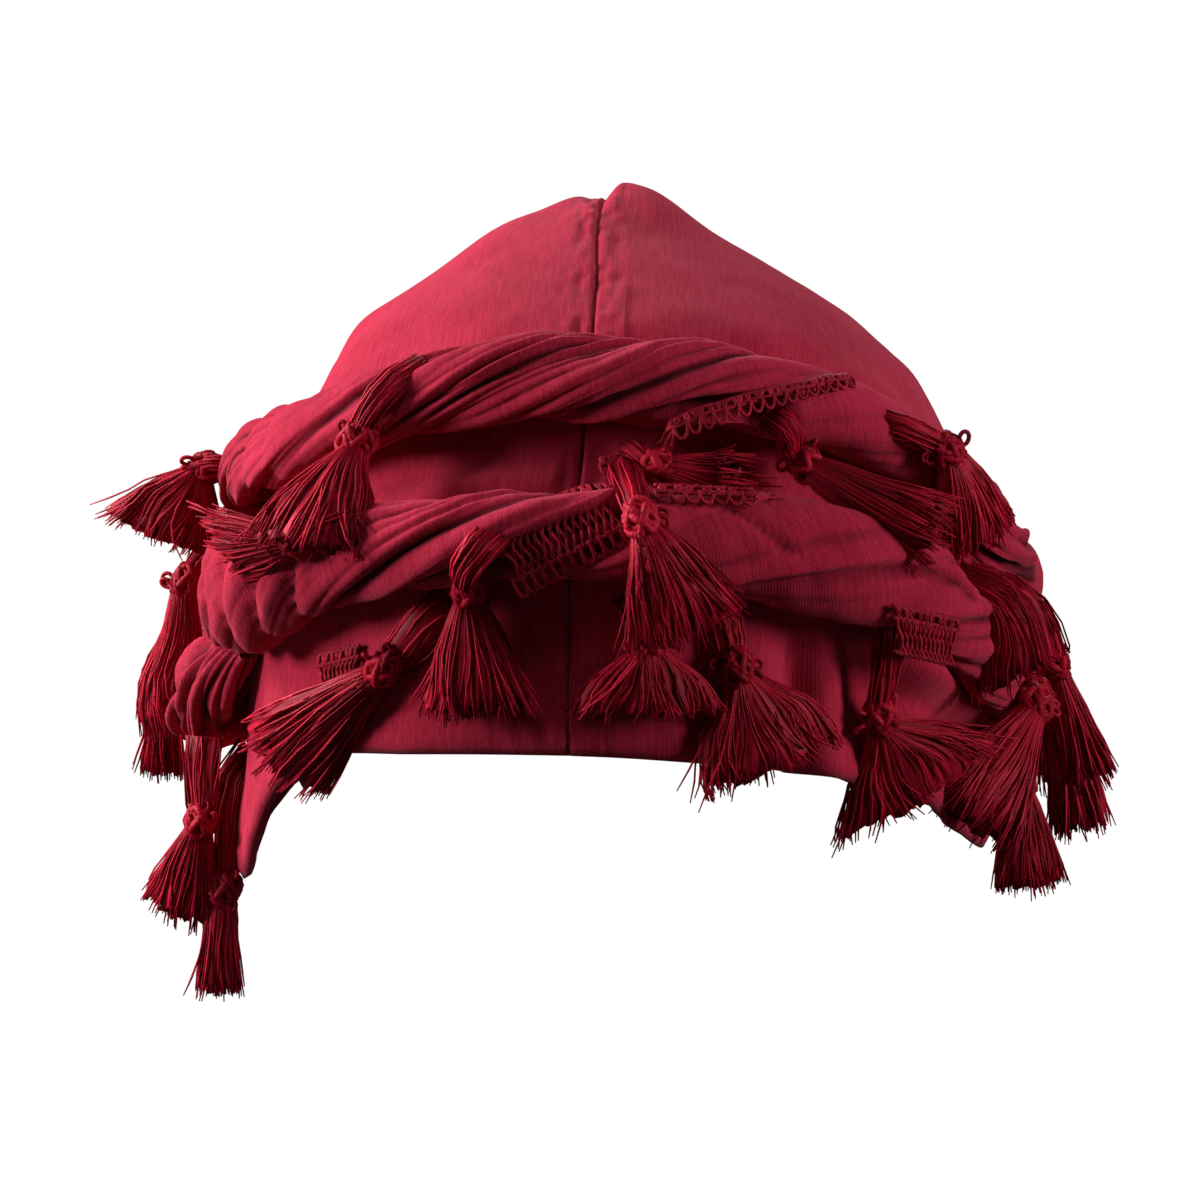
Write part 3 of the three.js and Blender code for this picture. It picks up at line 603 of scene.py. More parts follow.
def cap_panel(name, start, end):
    """One panel: the grid, then its dents and folds along the normal of the grid itself. The
    columns crowd together towards the seams, by a sine of the share of the way across. The crest
    is the peak's, which stands up to the right of the seam and dips to its left."""
    share = np.linspace(0, 1, PANEL_COLUMNS)
    angles = start + (end - start) * (share - 0.6 * np.sin(2 * np.pi * share) / (2 * np.pi))
    height, half = cap_grid(angles)
    angle = np.broadcast_to(angles[:, None], height.shape)
    point = oval(angle, height, half)
    normal = unit(np.cross(np.gradient(point, axis=0), np.gradient(point, axis=1)))
    normal[:, -1] = (0, 0, 1)
    relief = (loose_form(angle, height, half, point) + seam_dent(angle, height, point)
              + sunk_between(angle, height) + turned_hem(angle, height, point)
              + brow_folds(angle, height))
    point = point + normal * relief[..., None]
    forehead = 1 - smooth_step(half, 0, 20) * (1 - bell(angle, 0, 35))
    point[..., 0] += read(SEAM_PULL, "aside", height) * forehead
    x, y = point[..., 0], point[..., 1]
    crest = plateau(x, -2.5, 1.5, 7, 22) * 2.6 - bell(x, -4, 4)
    point[..., 2] += crest * bell(y, -1, 11)
    faces, corner = grid_faces(*height.shape)
    mean_radius = 1.1 * half  # of an oval as deep as the head
    cloth = np.stack([mean_radius * np.radians(angle), way_along(point) + height[:, :1]], -1)
    piece = new_piece(name, point.reshape(-1, 3), [faces], JERSEY,
                      uv=cloth[corner[..., 0], corner[..., 1]])
    wall = piece.modifiers.new("wall", "SOLIDIFY")
    wall.thickness = CLOTH * MM
    wall.offset = -1
    a, b, c, d = (point.reshape(-1, 3)[faces[:, k]] for k in range(4))
    area = np.linalg.norm(np.cross(c - a, d - b), axis=-1).sum() / 2
    return piece, area


# A panel lies flat in a rectangle of half the way round the hem (289 mm) by the way up the cloth
# from the hem beside the ear to the peak (187 mm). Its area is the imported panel's volume over its
# wall. The dressed cloth measures a little more, as jersey that is stretched.
PANELS = {"left": (-180, 0), "right": (0, 180)}
for side, (start, end) in PANELS.items():
    panel, area = cap_panel(f"{side}_panel_jersey", start, end)
    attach(panel, "root")
    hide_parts(f"cap_{side}_panel")
    print(panel.name, "cloth", round(area / 1e6, 4), "m2,", triangles(panel), "triangles")

# %% [markdown]
# ## The wraps
# Each wrap is a long strip of jersey, twisted and wound round the head. A cloth simulation of a
# twist that tight takes longer than the whole script may, and loses where each pleat lies. So a
# wrap is a tube whose section carries a ring of pleats, and the section turns as it goes round the
# head, which makes every pleat a helix. The grid turns with the pleats, so a crease is always one
# clean line of points. Where a wrap is smooth, the table makes its pleats shallow.

# %% Folds round a wrap
# The broad folds round the section: where each begins and how deep its valley is, as a share of
# the section's radius.
FOLDS = rows(
    "at valley", (0, 0.2), (80, 0.14), (150, 0.12), (225, 0.14), (290, 0.16))
ACROSS = (np.arange(28) / 28) ** 1.1  # places across one fold, closer together near its crease
# How deeply the cloth is pleated along each wrap: 1 is fully pleated and 0 is smooth.
PLEATED = {
    "upper_wrap": rows("at depth", (-180, 1), (-90, 0.9), (-66, 0.7), (-45, 0.25), (-30, 0.7),
                       (-15, 1), (8, 1), (22, 0.7), (34, 0.2), (55, 0.25), (72, 0.8), (110, 1)),
    "lower_wrap": rows("at depth", (-180, 1), (-90, 0.9), (-66, 0.5), (-48, 0.12), (-33, 0.55),
                       (-15, 0.8), (0, 0.6), (12, 0.35), (24, 0.12), (45, 0.15), (58, 0.5),
                       (75, 0.9), (120, 1)),
    "nape_roll": rows("at depth", (98, 0.6), (140, 1), (240, 1.1), (280, 1.35), (299, 0.8)),
}
RINGS = {"upper_wrap": 440, "lower_wrap": 440, "nape_roll": 180}
CREASES = {"upper_wrap": 120, "lower_wrap": 95, "nape_roll": 55}


def fold_share(depth):
    """The broad folds: the radius rises quickly from each valley, rounds over and slopes down to
    the next, as the sine of pi times the distance across to the power 0.8."""
    valley = FOLDS["valley"][None, :, None] * depth[:, None, None]
    after = np.roll(FOLDS["valley"], -1)[None, :, None] * depth[:, None, None]
    hollow = valley * (1 - ACROSS) + after * ACROSS
    return (1 - hollow * (1 - np.sin(np.pi * ACROSS**0.8))).reshape(len(depth), -1)


def section_turns():
    """Degrees round the section of every place across every fold."""
    width = np.diff(np.append(FOLDS["at"], 360))
    return (FOLDS["at"][:, None] + ACROSS * width[:, None]).ravel()


def crease_share(angle, turns, seed, count):
    """Creases that come and go: each is a short stretch of a helix. The cloth dips into it as e
    to the minus distance, which leaves a sharp line, and one side laps a little over the other."""
    random = np.random.default_rng(seed)
    middle = random.uniform(angle[0], angle[-1], count)
    place = random.uniform(0, 360, count)
    reach = random.uniform(10, 42, count)
    slant = random.normal(0, 0.5, count)
    depth = random.uniform(0.06, 0.28, count)
    width = random.uniform(3.5, 8, count)
    total = np.zeros((len(angle), len(turns)))
    for k in range(count):
        along = np.mod(angle - middle[k] + 180, 360) - 180
        near = np.abs(along) < reach[k]
        fade = np.cos(along[near] / reach[k] * np.pi / 2) ** 0.7
        line = place[k] + slant[k] * along[near] + 5 * np.sin(along[near] / 9 + k)
        aside = np.mod(turns - line[:, None] + 180, 360) - 180
        dip = np.exp(-np.sqrt((aside / width[k]) ** 2 + 0.04))
        lap = np.tanh(aside / width[k]) * bell(aside, 0, 4 * width[k])
        total[near] += fade[:, None] * depth[k] * (0.45 * lap - dip)
    return total


def pleat_share(angle, turns, seed, count=13):
    """Fine pleats all the way along: rounded ridges between sharp creases, as the size of a cosine
    to the power 0.7. Slow sines widen, narrow and fade them, and all close after a lap."""
    phase = np.random.default_rng(seed).uniform(0, 2 * np.pi, 6)
    a, t = np.radians(angle)[:, None], np.radians(turns)
    warp = 0.9 * np.sin(2 * t + 2 * a + phase[0]) + 0.6 * np.sin(3 * t - 3 * a + phase[1])
    warp += 0.5 * np.sin(9 * a + t + phase[2]) + 0.25 * np.sin(17 * a + 2 * t + phase[3])
    strength = 0.6 + 0.4 * np.sin(2 * t + 5 * a + phase[4]) * np.sin(t - 7 * a + phase[5])
    return (np.abs(np.cos(count / 2 * t + warp)) ** 0.7 - 0.7) * strength


print("points round a wrap's section:", len(section_turns()))

# %% Folds in one place only
# Each function takes the angle round the head as a column, how high each point of the section is
# (-1 to 1) and whether it is on the outside, and gives a share of the section's radius.


def ribs(turn):
    """Rounded ribs between sharp creases, one for each half turn: the size of a cosine to the
    power 0.6, lowered by about its average."""
    return np.abs(np.cos(turn)) ** 0.6 - 0.6


def upper_folds(a, high, outer):
    """At the left temple the wrap bends sharply and bunches up in ribs 7.5 degrees apart. At the
    right of the brow its free edge lies over a hollow, below a line that climbs to the right."""
    below = 62 + 0.18 * (a - 4) - wrap_at(UPPER_WRAP, a, "height") - 9.5 * high
    hollow = 0.6 * smooth_step(below, 0.5, 3) * outer * plateau(a, 2, 7, 28, 33)
    return 0.24 * bell(a, -60, 9) * ribs(np.pi * (a + 58) / 7.5 + 0.9 * high) - hollow


def lower_folds(a, high, outer):
    """Ribs 7.6 degrees apart at the left bend. A sunk window of smooth cloth, which the lace hangs
    in front of. Right of it one crease, and a puffed layer whose edge laps over the cloth below."""
    bend = 0.42 * (1 - 0.55 * high**2) * plateau(a, -68, -59, -38, -31)
    bend = bend * ribs(np.pi * (a + 39.5) / 7.6 + 0.8 * high**2 - 0.2 * high)
    window = 0.5 * plateau(8 * high - 0.72 * a, -10, -6, 2, 3) * plateau(a, -14, -9, 6, 10)
    crease = 0.12 * bell(a + 9 * high, 26, 1.2) * bell(high, 0.25, 0.45)
    edge = high + 1 - 1.3 * smooth_step(a, 12, 50)
    lap = 0.09 * np.tanh(edge / 0.05) * bell(edge, 0, 0.35) - 0.07 * bell(edge, 0, 0.05)
    return bend - crease + (lap * plateau(a, 14, 22, 52, 64) - window) * outer


def nape_folds(a, high, outer):
    """Where the roll comes out at the left temple, ridges sweep down across its outside, over a
    hollow, and it narrows a little behind them."""
    sweep = high + 0.1 - 0.05 * (a - 285)
    near = bell(a, 285, 12) * outer
    ridges = 0.3 * (ribs(1.5 * np.pi * sweep) - bell(sweep, 0.35, 0.3))
    return ridges * near - 0.2 * bell(a, 279, 16)


LOCAL_FOLDS = {"upper_wrap": upper_folds, "lower_wrap": lower_folds, "nape_roll": nape_folds}
print("a rib stands up by", round(float(ribs(0)), 2), "of its own depth")

# %% The wraps' surfaces
LEAST_SHARE = 0.4  # no fold cuts deeper into the section than this share of its radius
BESIDE = 9  # how many points each way count as the cloth beside a point
ROUND_HEAD, ROUND_WRAP = 98, 57  # mm: a wrap's mean distance from the axis, and its own girth


def wrap_piece(name, seed):
    """A wrap as a grid of rings: each point of a ring is the section's middle, plus the plain oval
    section times the share that the folds and creases leave of it. The lower wrap is flatter at
    the left ear. The nape roll's fine pleats are deeper than the others', save near its left end.
    "Deep" is how far each point lies below the cloth beside it; the finish paints shade there by it."""
    wrap = WRAPS[name]
    closed = wrap is not NAPE_ROLL
    first, last = wrap["at"][0], wrap["at"][-1]
    angle = np.linspace(first, first + LAP if closed else last, RINGS[name], endpoint=not closed)
    height, tall, thick, turn = (wrap_at(wrap, angle, column)
                                 for column in ("height", "tall", "thick", "turn"))
    depth = read(PLEATED[name], "depth", angle, LAP if closed else 0)[:, None]
    middle = on_cap(angle, height, GAP + thick)
    if wrap is LOWER_WRAP:
        thick = thick * (1 - 0.3 * bell(angle, -84, 22))
    out = cap_normal(angle, height)
    along = unit(np.stack([-out[:, 1], out[:, 0], 0 * angle], -1))
    up = np.cross(along, -out)
    up *= np.sign(up[:, 2:])
    turns = section_turns()
    wander = 5 * np.sin(np.radians(3 * angle + 40 * seed))[:, None] * np.cos(np.radians(2 * turns))
    round_ = np.radians(turns + turn[:, None] + wander)

    def section(share):
        """The rings, with each point at a share of the plain section's radius."""
        off, rise = share * thick[:, None] * np.cos(round_), share * tall[:, None] * np.sin(round_)
        return middle[:, None] + out[:, None] * off[..., None] + up[:, None] * rise[..., None]

    plain = section(np.ones_like(round_))
    share = fold_share(0.35 + 0.75 * depth[:, 0])
    fine = 0.2 if closed else 0.45 * (1 - 0.75 * bell(angle, 286, 13))[:, None]
    share += fine * pleat_share(angle, turns, seed) * depth**1.5
    share += crease_share(angle, turns, seed, CREASES[name]) * depth
    share += LOCAL_FOLDS[name](angle[:, None], np.sin(round_), np.cos(round_) > 0)
    share += 0.012 * waviness(plain, 8, seed) + 0.035 * waviness(plain, 24, seed + 1)
    ways = range(-BESIDE, BESIDE + 1)
    beside = sum(np.roll(share, k, axis=1) for k in ways) / len(ways)
    # Painted crease shade: 0 on open cloth, full a tenth of the radius below the cloth beside it.
    deep = np.clip((beside - share - 0.01) / 0.09, 0, 1)  # full at a tenth of the radius
    return close_wrap(name, section(np.maximum(share, LEAST_SHARE)), angle, turns, closed, deep)


def close_wrap(name, point, angle, turns, closed, deep):
    """Joins the rings into a mesh, with each section closed, and the roll's ends capped."""
    rings, count = point.shape[:2]
    corner = grid_faces(count, rings + closed, closed=True)[1]
    across, ring = corner[..., 0], corner[..., 1]
    faces = [(ring % rings) * count + across % count]
    if not closed:
        faces += [np.arange(count)[None], np.arange(count)[None, ::-1] + (rings - 1) * count]
    length = np.radians(angle[0] + ring * (angle[1] - angle[0])) * ROUND_HEAD
    girth = np.append(turns, 360)[across] / 360 * ROUND_WRAP
    uv = np.stack([length + 0.25 * girth, girth], -1)
    # "deep" goes on the points for the finish's painted crease shade.
    return new_piece(name + "_jersey", point.reshape(-1, 3), faces, JERSEY, uv=uv, deep=deep)


def volume(piece):
    """The space inside a closed mesh: the sum of its triangles' corner products over six. It is
    above 0 where the faces point outwards."""
    mesh = piece.data
    mesh.calc_loop_triangles()
    co = np.zeros(len(mesh.vertices) * 3)
    mesh.vertices.foreach_get("co", co)
    tri = np.zeros(len(mesh.loop_triangles) * 3, np.int32)
    mesh.loop_triangles.foreach_get("vertices", tri)
    a, b, c = co.reshape(-1, 3)[tri.reshape(-1, 3)].transpose(1, 0, 2)
    return float((a * np.cross(b, c)).sum() / 6)


def face_outwards(piece):
    """Turns a closed piece's faces over if they point inwards."""
    if volume(piece) < 0:
        piece.data.flip_normals()


for seed, name in enumerate(WRAPS, start=11):
    wrap = wrap_piece(name, seed)
    face_outwards(wrap)
    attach(wrap, "root")
    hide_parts(name)
    print(wrap.name, round(volume(wrap) * 1e6), "cm3,", triangles(wrap), "triangles")

# %% [markdown]
# ## The crocheted edging
# The free edges of the wraps are finished with crochet: a chain along the cloth, posts that stand
# on it and, below them, a net of slanting threads or a row of small loops. A pierced strip would
# read as lace from afar, but up close crochet is thread, so each strip is made of thin tubes that
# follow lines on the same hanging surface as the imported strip.

# %% The edging's table and surface
# "Posts" stand along the strip, "net" is how many slanting threads cross it and "loops" how many
# small loops hang from its edge. "Header" is the share of the drop that the posts take, and
# "inset" is how far the strip is sunk into the hollow behind it.
STRIP = "start end drop posts header net loops inset".split()
LACE = {name: dict(zip(STRIP, values)) for name, *values in (
    ("lace_upper", (4, 59.5), (42, 68.5), (1, -5), 36, 0.24, 0, 22, 0),
    ("lace_lower", (-9, 44), (5, 54), (3, -9), 16, 0.3, 16, 12, 3.2),
    ("lace_middle", (11, 51), (23, 50), (0, -4), 7, 0.3, 0, 7, 0),
    ("lace_right", (40, 30), (52, 26), (2, -10), 10, 0.25, 14, 0, 0),
    ("lace_left", (-42, 18), (-33, 21), (0, -8), 9, 0.3, 10, 8, 0),
)}
LACE_FALL = 0.35  # a strip that hangs past a wrap leans back to the head by this share of its drop
THREAD_RADIUS, THREAD_SIDES = 0.38, 5
ALONG, DOWN = 80, 27  # points of a strip's surface
BELOW = 1.3  # the surface goes on past the strip's own drop, for the loops


def lace_surface(strip):
    """A function that places (along, down, off) on the strip: down from the sewn edge, it lies on
    the wraps, or falls back to the head by LACE_FALL where they end."""
    u, v = np.meshgrid(np.linspace(0, 1, ALONG), np.linspace(0, BELOW, DOWN), indexing="ij")
    angle, height = (a + u * (b - a) + v * c
                     for a, b, c in zip(strip["start"], strip["end"], strip["drop"]))
    fall = -LACE_FALL * strip["drop"][1] * v
    rest = np.maximum.accumulate(cover(angle, height) + fall, axis=1) - fall - strip["inset"]
    point, normal = on_cap(angle, height, rest), cap_normal(angle, height)

    def place(along, down, off):
        """Points off the surface and its normals there, mixed from the four points round each."""
        along = np.clip(along, 0, 1) * (ALONG - 1)
        down = np.clip(down, 0, BELOW) / BELOW * (DOWN - 1)
        i, j = np.minimum(along.astype(int), ALONG - 2), np.minimum(down.astype(int), DOWN - 2)
        s, t = (along - i)[..., None], (down - j)[..., None]
        spot, way = (((g[i, j] * (1 - t) + g[i, j + 1] * t) * (1 - s)
                      + (g[i + 1, j] * (1 - t) + g[i + 1, j + 1] * t) * s) for g in (point, normal))
        return spot + way * off[..., None], way

    return place


print("strips of edging:", ", ".join(LACE))

# %% Threads of one strip


def lace_threads(strip, samples=40):
    """Lines on the strip as (along, down, off): two twisted chains, posts, a net of two families of
    slanting threads that pass over and under each other, and loops on the free edge."""
    t = np.linspace(0, 1, samples)
    header, posts = strip["header"], strip["posts"]
    lines = []
    for down in (0.02, header):
        for phase in (0, np.pi):
            wave = 2 * np.pi * posts * t + phase
            lines.append((t, down + 0.045 * np.cos(wave), 0.45 + 0.25 * np.sin(wave)))
    for k in range(posts):  # two threads a post, which part in its middle
        middle, lean = (k + 0.5) / posts, 0.35 * math.sin(2.3 * k) / posts
        for side in (-0.2, 0.2):
            across = middle + lean * t + side / posts * np.cos(2 * np.pi * t)
            lines.append((across, header * t, 0.5 + 0.3 * np.sin(np.pi * t)))
    net = strip["net"]
    for k in range(-2, net + 2):
        for lean in (1, -1):
            reach = (1 - header) * t
            along = (k + 0.5) / max(net, 1) + lean * 1.6 * t / max(net, 1)
            if net and along.min() > 0 and along.max() < 1:
                lines.append((along, header + reach, 0.5 + lean * 0.2 * np.cos(4 * np.pi * t)))
    if net:
        for phase in (0, np.pi):
            wave = 2 * np.pi * net * t + phase
            lines.append((t, 1 + 0.04 * np.cos(wave), 0.5 + 0.22 * np.sin(wave)))
    edge = 1.0 if net else header
    for k in range(strip["loops"]):
        swing = np.pi * (t * 1.5 - 0.25)
        hang = edge + 0.36 * np.maximum(np.sin(swing), -0.2) + 0.03
        lines.append(((k + 0.5 - 0.5 * np.cos(swing) * 0.95) / strip["loops"], hang,
                      0.5 + 0.2 * np.cos(2 * swing)))
    return np.array(lines)


for number, (name, strip) in enumerate(LACE.items()):
    place = lace_surface(strip)
    along, down, off = lace_threads(strip).transpose(1, 0, 2)
    line, normal = place(along, down, off + THREAD_RADIUS)
    points, faces = tubes(line, THREAD_RADIUS, THREAD_SIDES, normal)
    random = np.random.default_rng(30 + number)
    shade = np.repeat(random.uniform(0, 1, len(line)), points.shape[0] // len(line))
    strip_piece = new_piece(name + "_crochet", points, faces, THREAD, shade=shade,
                            along=np.repeat(way_along(line).ravel(), THREAD_SIDES))
    face_outwards(strip_piece)
    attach(strip_piece, "root")
    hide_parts(name)
    print(strip_piece.name, len(line), "threads,", triangles(strip_piece), "triangles")

# %% [markdown]
# ## The tassels
# A tassel is a bunch of yarn pulled through the edging, tied with a crocheted knot and left to
# hang as a skirt. A cone with a striped texture would do from across a room. Here every strand is
# its own tube, grouped in locks that drift apart towards their tips, and the knot is a braid of
# three leads closed round the bunch.

# %% The tassels' table
# Where the yarn leaves the cloth (angle, height), where the knot is and where the tips end (angle,
# height, how far off the cloth below), half the width of the spread tips, how far the fan of the
# skirt is turned out of the cloth, and half the width of the stem.
TASSELS = rows(
    "from_at from_height knot_at knot_height knot_off tip_at tip_height tip_off spread turned "
    "stem",
    (-80, 56, -84, 55, 4, -85, 38, 12, 14.5, 90, 3), (-24, 79, -32, 63, 2, -31, 42, 3, 14, 25, 3.4),
    (-27, 46.5, -33, 43.5, 2.5, -44.5, 40, 3, 10, 40, 4),
    (-95, 46, -94, 28, 9, -92, -4, 1, 7.5, 75, 3), (-100, 14, -101, 2, 10, -102, -18, 28, 6, 60, 5),
    (-74.3, -4, -74, -23, 9, -77.5, -44, 13, 9.5, 50, 6),
    (-76, -8, -74.5, -39, 4, -74.5, -60.5, 5, 5, 60, 5.5), (8, 60, 9, 49, 3, 15, 26, 13, 12, 0, 4),
    (-8, 46, -13, 34, 6, -12, 9, 4, 12, 0, 4), (-17, 31, -26, 17, 4, -47, -5.5, 4, 10.5, 25, 6),
    (9, 33, 11, 24, 4, 11, 9, 4, 15, 0, 4), (21, 32, 23, 18, 4, 28, -3, 4, 16, -10, 4),
    (9, 62, 13, 58, 1, 23, 54, 1, 7, 0, 2.6), (43.5, 26, 44.5, 5.5, 5, 53, -11, 4, 18, -32, 3.6),
    (29, 69, 36.5, 58.5, 2, 44.7, 44.5, 7, 7.5, -30, 3.5),
    (46, 67, 54, 61, 2, 60, 42, 12, 9.5, -30, 3.5), (61, 46, 63, 37, 3, 67, 13, 4, 11.5, -60, 4),
    (84, 22, 89, 12, 5, 94, -15, 17, 11, 80, 4), (99, 10, 100, -3, 9, 101, -28, 21, 7, 70, 4),
    (78, 0, 83, -14, 7, 84, -37, 9, 7.5, -75, 4), (82, 9, 77, 5, 4, 63.5, -18, 5, 12, -50, 4),
    (118, 32, 121, 17, 4, 119, -6, 6, 10, 0, 3.6), (143, 12, 146, -3, 5, 150, -24, 14, 10, 0, 3.6),
    (166, 38, 167, 22, 4, 172, -1, 6, 11, 0, 3.6), (-168, 20, -166, 4, 5, -167, -13, 6, 10, 0, 3.6),
    (-147, 44, -145, 28, 4, -139, 6, 6, 10, 0, 3.6),
    (-124, 24, -124, 7, 5, -120, -16, 14, 10, 0, 3.6))
STRAND_RADIUS = 0.26
ROOT = -2.5  # the yarn begins this far inside the cloth


def strand_line(a, b, share, clear):
    """Places on the way from a to b, each (angle, height, lift): yarn runs straight between its
    ends and goes round whatever stands in its way, "clear" off it."""
    angle = a[0] + (b[0] - a[0]) * share
    height = a[1] + (b[1] - a[1]) * share
    off_a, off_b = front_of(a[0], a[1]) + a[2], front_of(b[0], b[1]) + b[2]
    off = np.maximum(off_a + (off_b - off_a) * share, front_of(angle, height) + clear)
    return oval(angle, height, half_width(height)) + outward(angle) * off[..., None]


def relaxed(line, times):
    """A line with its corners eased: each inner point moves to the mean of itself and its
    neighbours, several times over."""
    for _ in range(times):
        line = line.copy()
        line[1:-1] = line[1:-1] / 2 + (line[:-2] + line[2:]) / 4
    return line


print(len(TASSELS["spread"]), "tassels, the widest", 2 * TASSELS["spread"].max(), "mm across")

# %% Strands round a line


def frames(line, out, turned):
    """Directions across and through a bunch at each point of its line: square to the line and to
    the outward direction, then turned about the line."""
    tangent = unit(np.gradient(line, axis=0))
    flat = unit(np.cross(tangent, out))
    face = np.cross(flat, tangent)
    c, s = math.cos(turned), math.sin(turned)
    return c * flat + s * face, c * face - s * flat


def between_points(values, at):
    """Values at places between an array's own, by straight lines."""
    i = np.clip(at.astype(int), 0, len(values) - 2)
    t = (at - i)[..., None]
    return values[i] * (1 - t) + values[i + 1] * t


def bunch(line, sides, widths, place, share):
    """Strands that follow a line. Each has a place (u, v) in the bunch's oval section at each step,
    and runs along the line by its own shares of the length. Returns (strands, steps, 3)."""
    at = share * (len(line) - 1)
    flat, face = (between_points(side, at) for side in sides)
    across, through = (between_points(width[:, None], at) for width in widths)
    return (between_points(line, at) + flat * (across * place[..., :1])
            + face * (through * place[..., 1:]))


def disc(random, count):
    """Points spread over a unit disc."""
    radius = np.sqrt(random.uniform(0, 1, (count, 1)))
    return radius * polar(random.uniform(0, 2 * np.pi, count))


def knot_lines(random, middle, flat, face, tangent):
    """A knot braided from three leads with five crossings: round the bunch three times while it
    swings up and down five times, in and out twice as often. Two strands run side by side."""
    t = np.linspace(0, 6 * np.pi, 84)
    swing = 5 * t / 3
    wide, deep, tall = random.uniform(0.86, 1.1, 3)
    lines = []
    for beside in (-0.6, 0.6):
        radius = 2.7 + 0.7 * np.cos(2 * swing) + 0.4 * np.cos(t + random.uniform(0, 6))
        rise = 2.9 * tall * np.sin(swing + 0.25 * beside) + beside
        lines.append(middle + (radius * wide * np.cos(t))[:, None] * flat
                     + (radius * deep * 0.85 * np.sin(t))[:, None] * face + rise[:, None] * tangent)
    return np.array(lines)


def loop_lines(random, middle, flat, face, tangent):
    """Small loops that stand out beside a knot: each is a ring that leaves it and comes back."""
    t = np.linspace(-0.85 * np.pi, 0.85 * np.pi, 15)
    lines = []
    for side in (-1, 1, random.choice([-1, 1])):
        lean, size = random.uniform(-1.4, 1.4), random.uniform(0.9, 1.4)
        way = side * math.cos(lean) * flat + math.sin(lean) * tangent
        turn = unit(np.cross(way, face) + random.normal(0, 0.4, 3))
        lines.append(middle + (3.2 + size * (1 + np.cos(t)))[:, None] * way
                     + (size * np.sin(t))[:, None] * turn + 0.8 * face)
    return np.array(lines)


print("a strand's first places:", between_points(np.eye(2), np.array([0.0, 0.25])).tolist())

# %% Making a tassel
STRANDS, LOCKS = 210, 5.5  # strands of a skirt, and how many locks there are in half its width
STEM_STRANDS = 70
STEM_POINTS, SKIRT_POINTS = 16, 28  # along a tassel's line, above and below its knot
SKIRT_END = 1.08  # the line goes on a little past the tips
STEM_STEPS, SKIRT_STEPS = 6, 7  # along a strand
STEM_COLUMNS, BODY_COLUMNS = 14, 96  # round the bodies inside
STEM_THICK = 1.7  # half the thickness of a stem
BODY = rows(
    "down wide", (0, 0.6), (0.12, 0.95), (0.28, 1), (0.45, 1), (0.62, 1), (0.8, 1), (1, 1),
    (1, 0.15))


def circle(count):
    """Points spaced evenly round the unit circle."""
    return polar(2 * np.pi * np.arange(count) / count)


def crowd(u):
    """Draws places together into LOCKS locks per unit, by a sine of the place itself."""
    return u - 0.8 / (2 * np.pi * LOCKS) * np.sin(2 * np.pi * LOCKS * u)


def sway_of(phase, steps, u):
    """How far a bunch bends aside on its way down: a sine that grows along it and shifts across."""
    return 0.09 * np.sin(4.5 * steps[:, None] + 5 * u[:, None, None] + phase) * steps[:, None]


def tassel_line(row):
    """The line a tassel hangs along, in two parts that share the knot: from inside the cloth to
    the knot, and on to the tips."""
    root = (row["from_at"], row["from_height"], ROOT)
    knot = (row["knot_at"], row["knot_height"], row["knot_off"])
    tips = (row["tip_at"], row["tip_height"], row["tip_off"])
    clear = np.where(np.arange(STEM_POINTS) < 2, ROOT, 2.6)
    stem = strand_line(root, knot, np.linspace(0, 1, STEM_POINTS), clear)
    skirt = strand_line(knot, tips, np.linspace(0, SKIRT_END, SKIRT_POINTS), 3)
    whole = relaxed(np.concatenate([stem, skirt[1:]]), 5)
    return whole[:STEM_POINTS], whole[STEM_POINTS - 1 :]


def skirt_widths(fan):
    """Half the width and half the thickness of the skirt along its line, for its half spread."""
    share = np.linspace(0, SKIRT_END, SKIRT_POINTS)
    wide = [2.2, 4.2, 0.72 * fan, 1.06 * fan, 1.1 * fan]
    return (np.interp(share, [0, 0.14, 0.5, 1, SKIRT_END], wide),
            np.interp(share, [0, 0.14, 0.55, SKIRT_END], [1.8, 3.0, 3.8, 4.0]))


def skirt_strands(random, skirt, sides, widths):
    """The skirt's strands: round in the knot, they spread into locks by half way down. Each has a
    slight curl, a few stray, they sway together and their ends are uneven. Also returns how the
    locks are shifted across and the sway's phase."""
    side = random.uniform(0, 2 * np.pi, STRANDS)
    reach = random.uniform(0.78, 1.04, STRANDS)
    shift = random.uniform(0, 1)
    u = crowd(np.cos(side) * reach + shift) - shift
    steps = np.linspace(0, 1, SKIRT_STEPS)
    begin = polar(side)[:, None] * 0.8
    finish = np.stack([u, np.sin(side) * reach], -1)[:, None]
    place = begin + (finish - begin) * smooth_step(steps, 0, 0.5)[:, None]
    stray = random.uniform(0, 1, (STRANDS, 1, 1)) ** 5 * 0.7 * disc(random, STRANDS)[:, None]
    own = random.uniform(0, 2 * np.pi, (STRANDS, 1, 2))
    phase = random.uniform(0, 6, 2)
    curl = 0.07 * random.uniform(0.3, 1, (STRANDS, 1, 1)) * np.sin(8 * steps[:, None] + own)
    place = place + (stray * steps[:, None] + curl) * steps[:, None] + sway_of(phase, steps, u)
    uneven = 0.05 * np.sin(2 * np.pi * (u * LOCKS / 2 + random.uniform()))
    length = 1.0 - 0.16 * random.uniform(0, 1, STRANDS) ** 1.6 + uneven - 0.07 * u**2
    return bunch(skirt, sides, widths, place, length[:, None] * steps), shift, phase


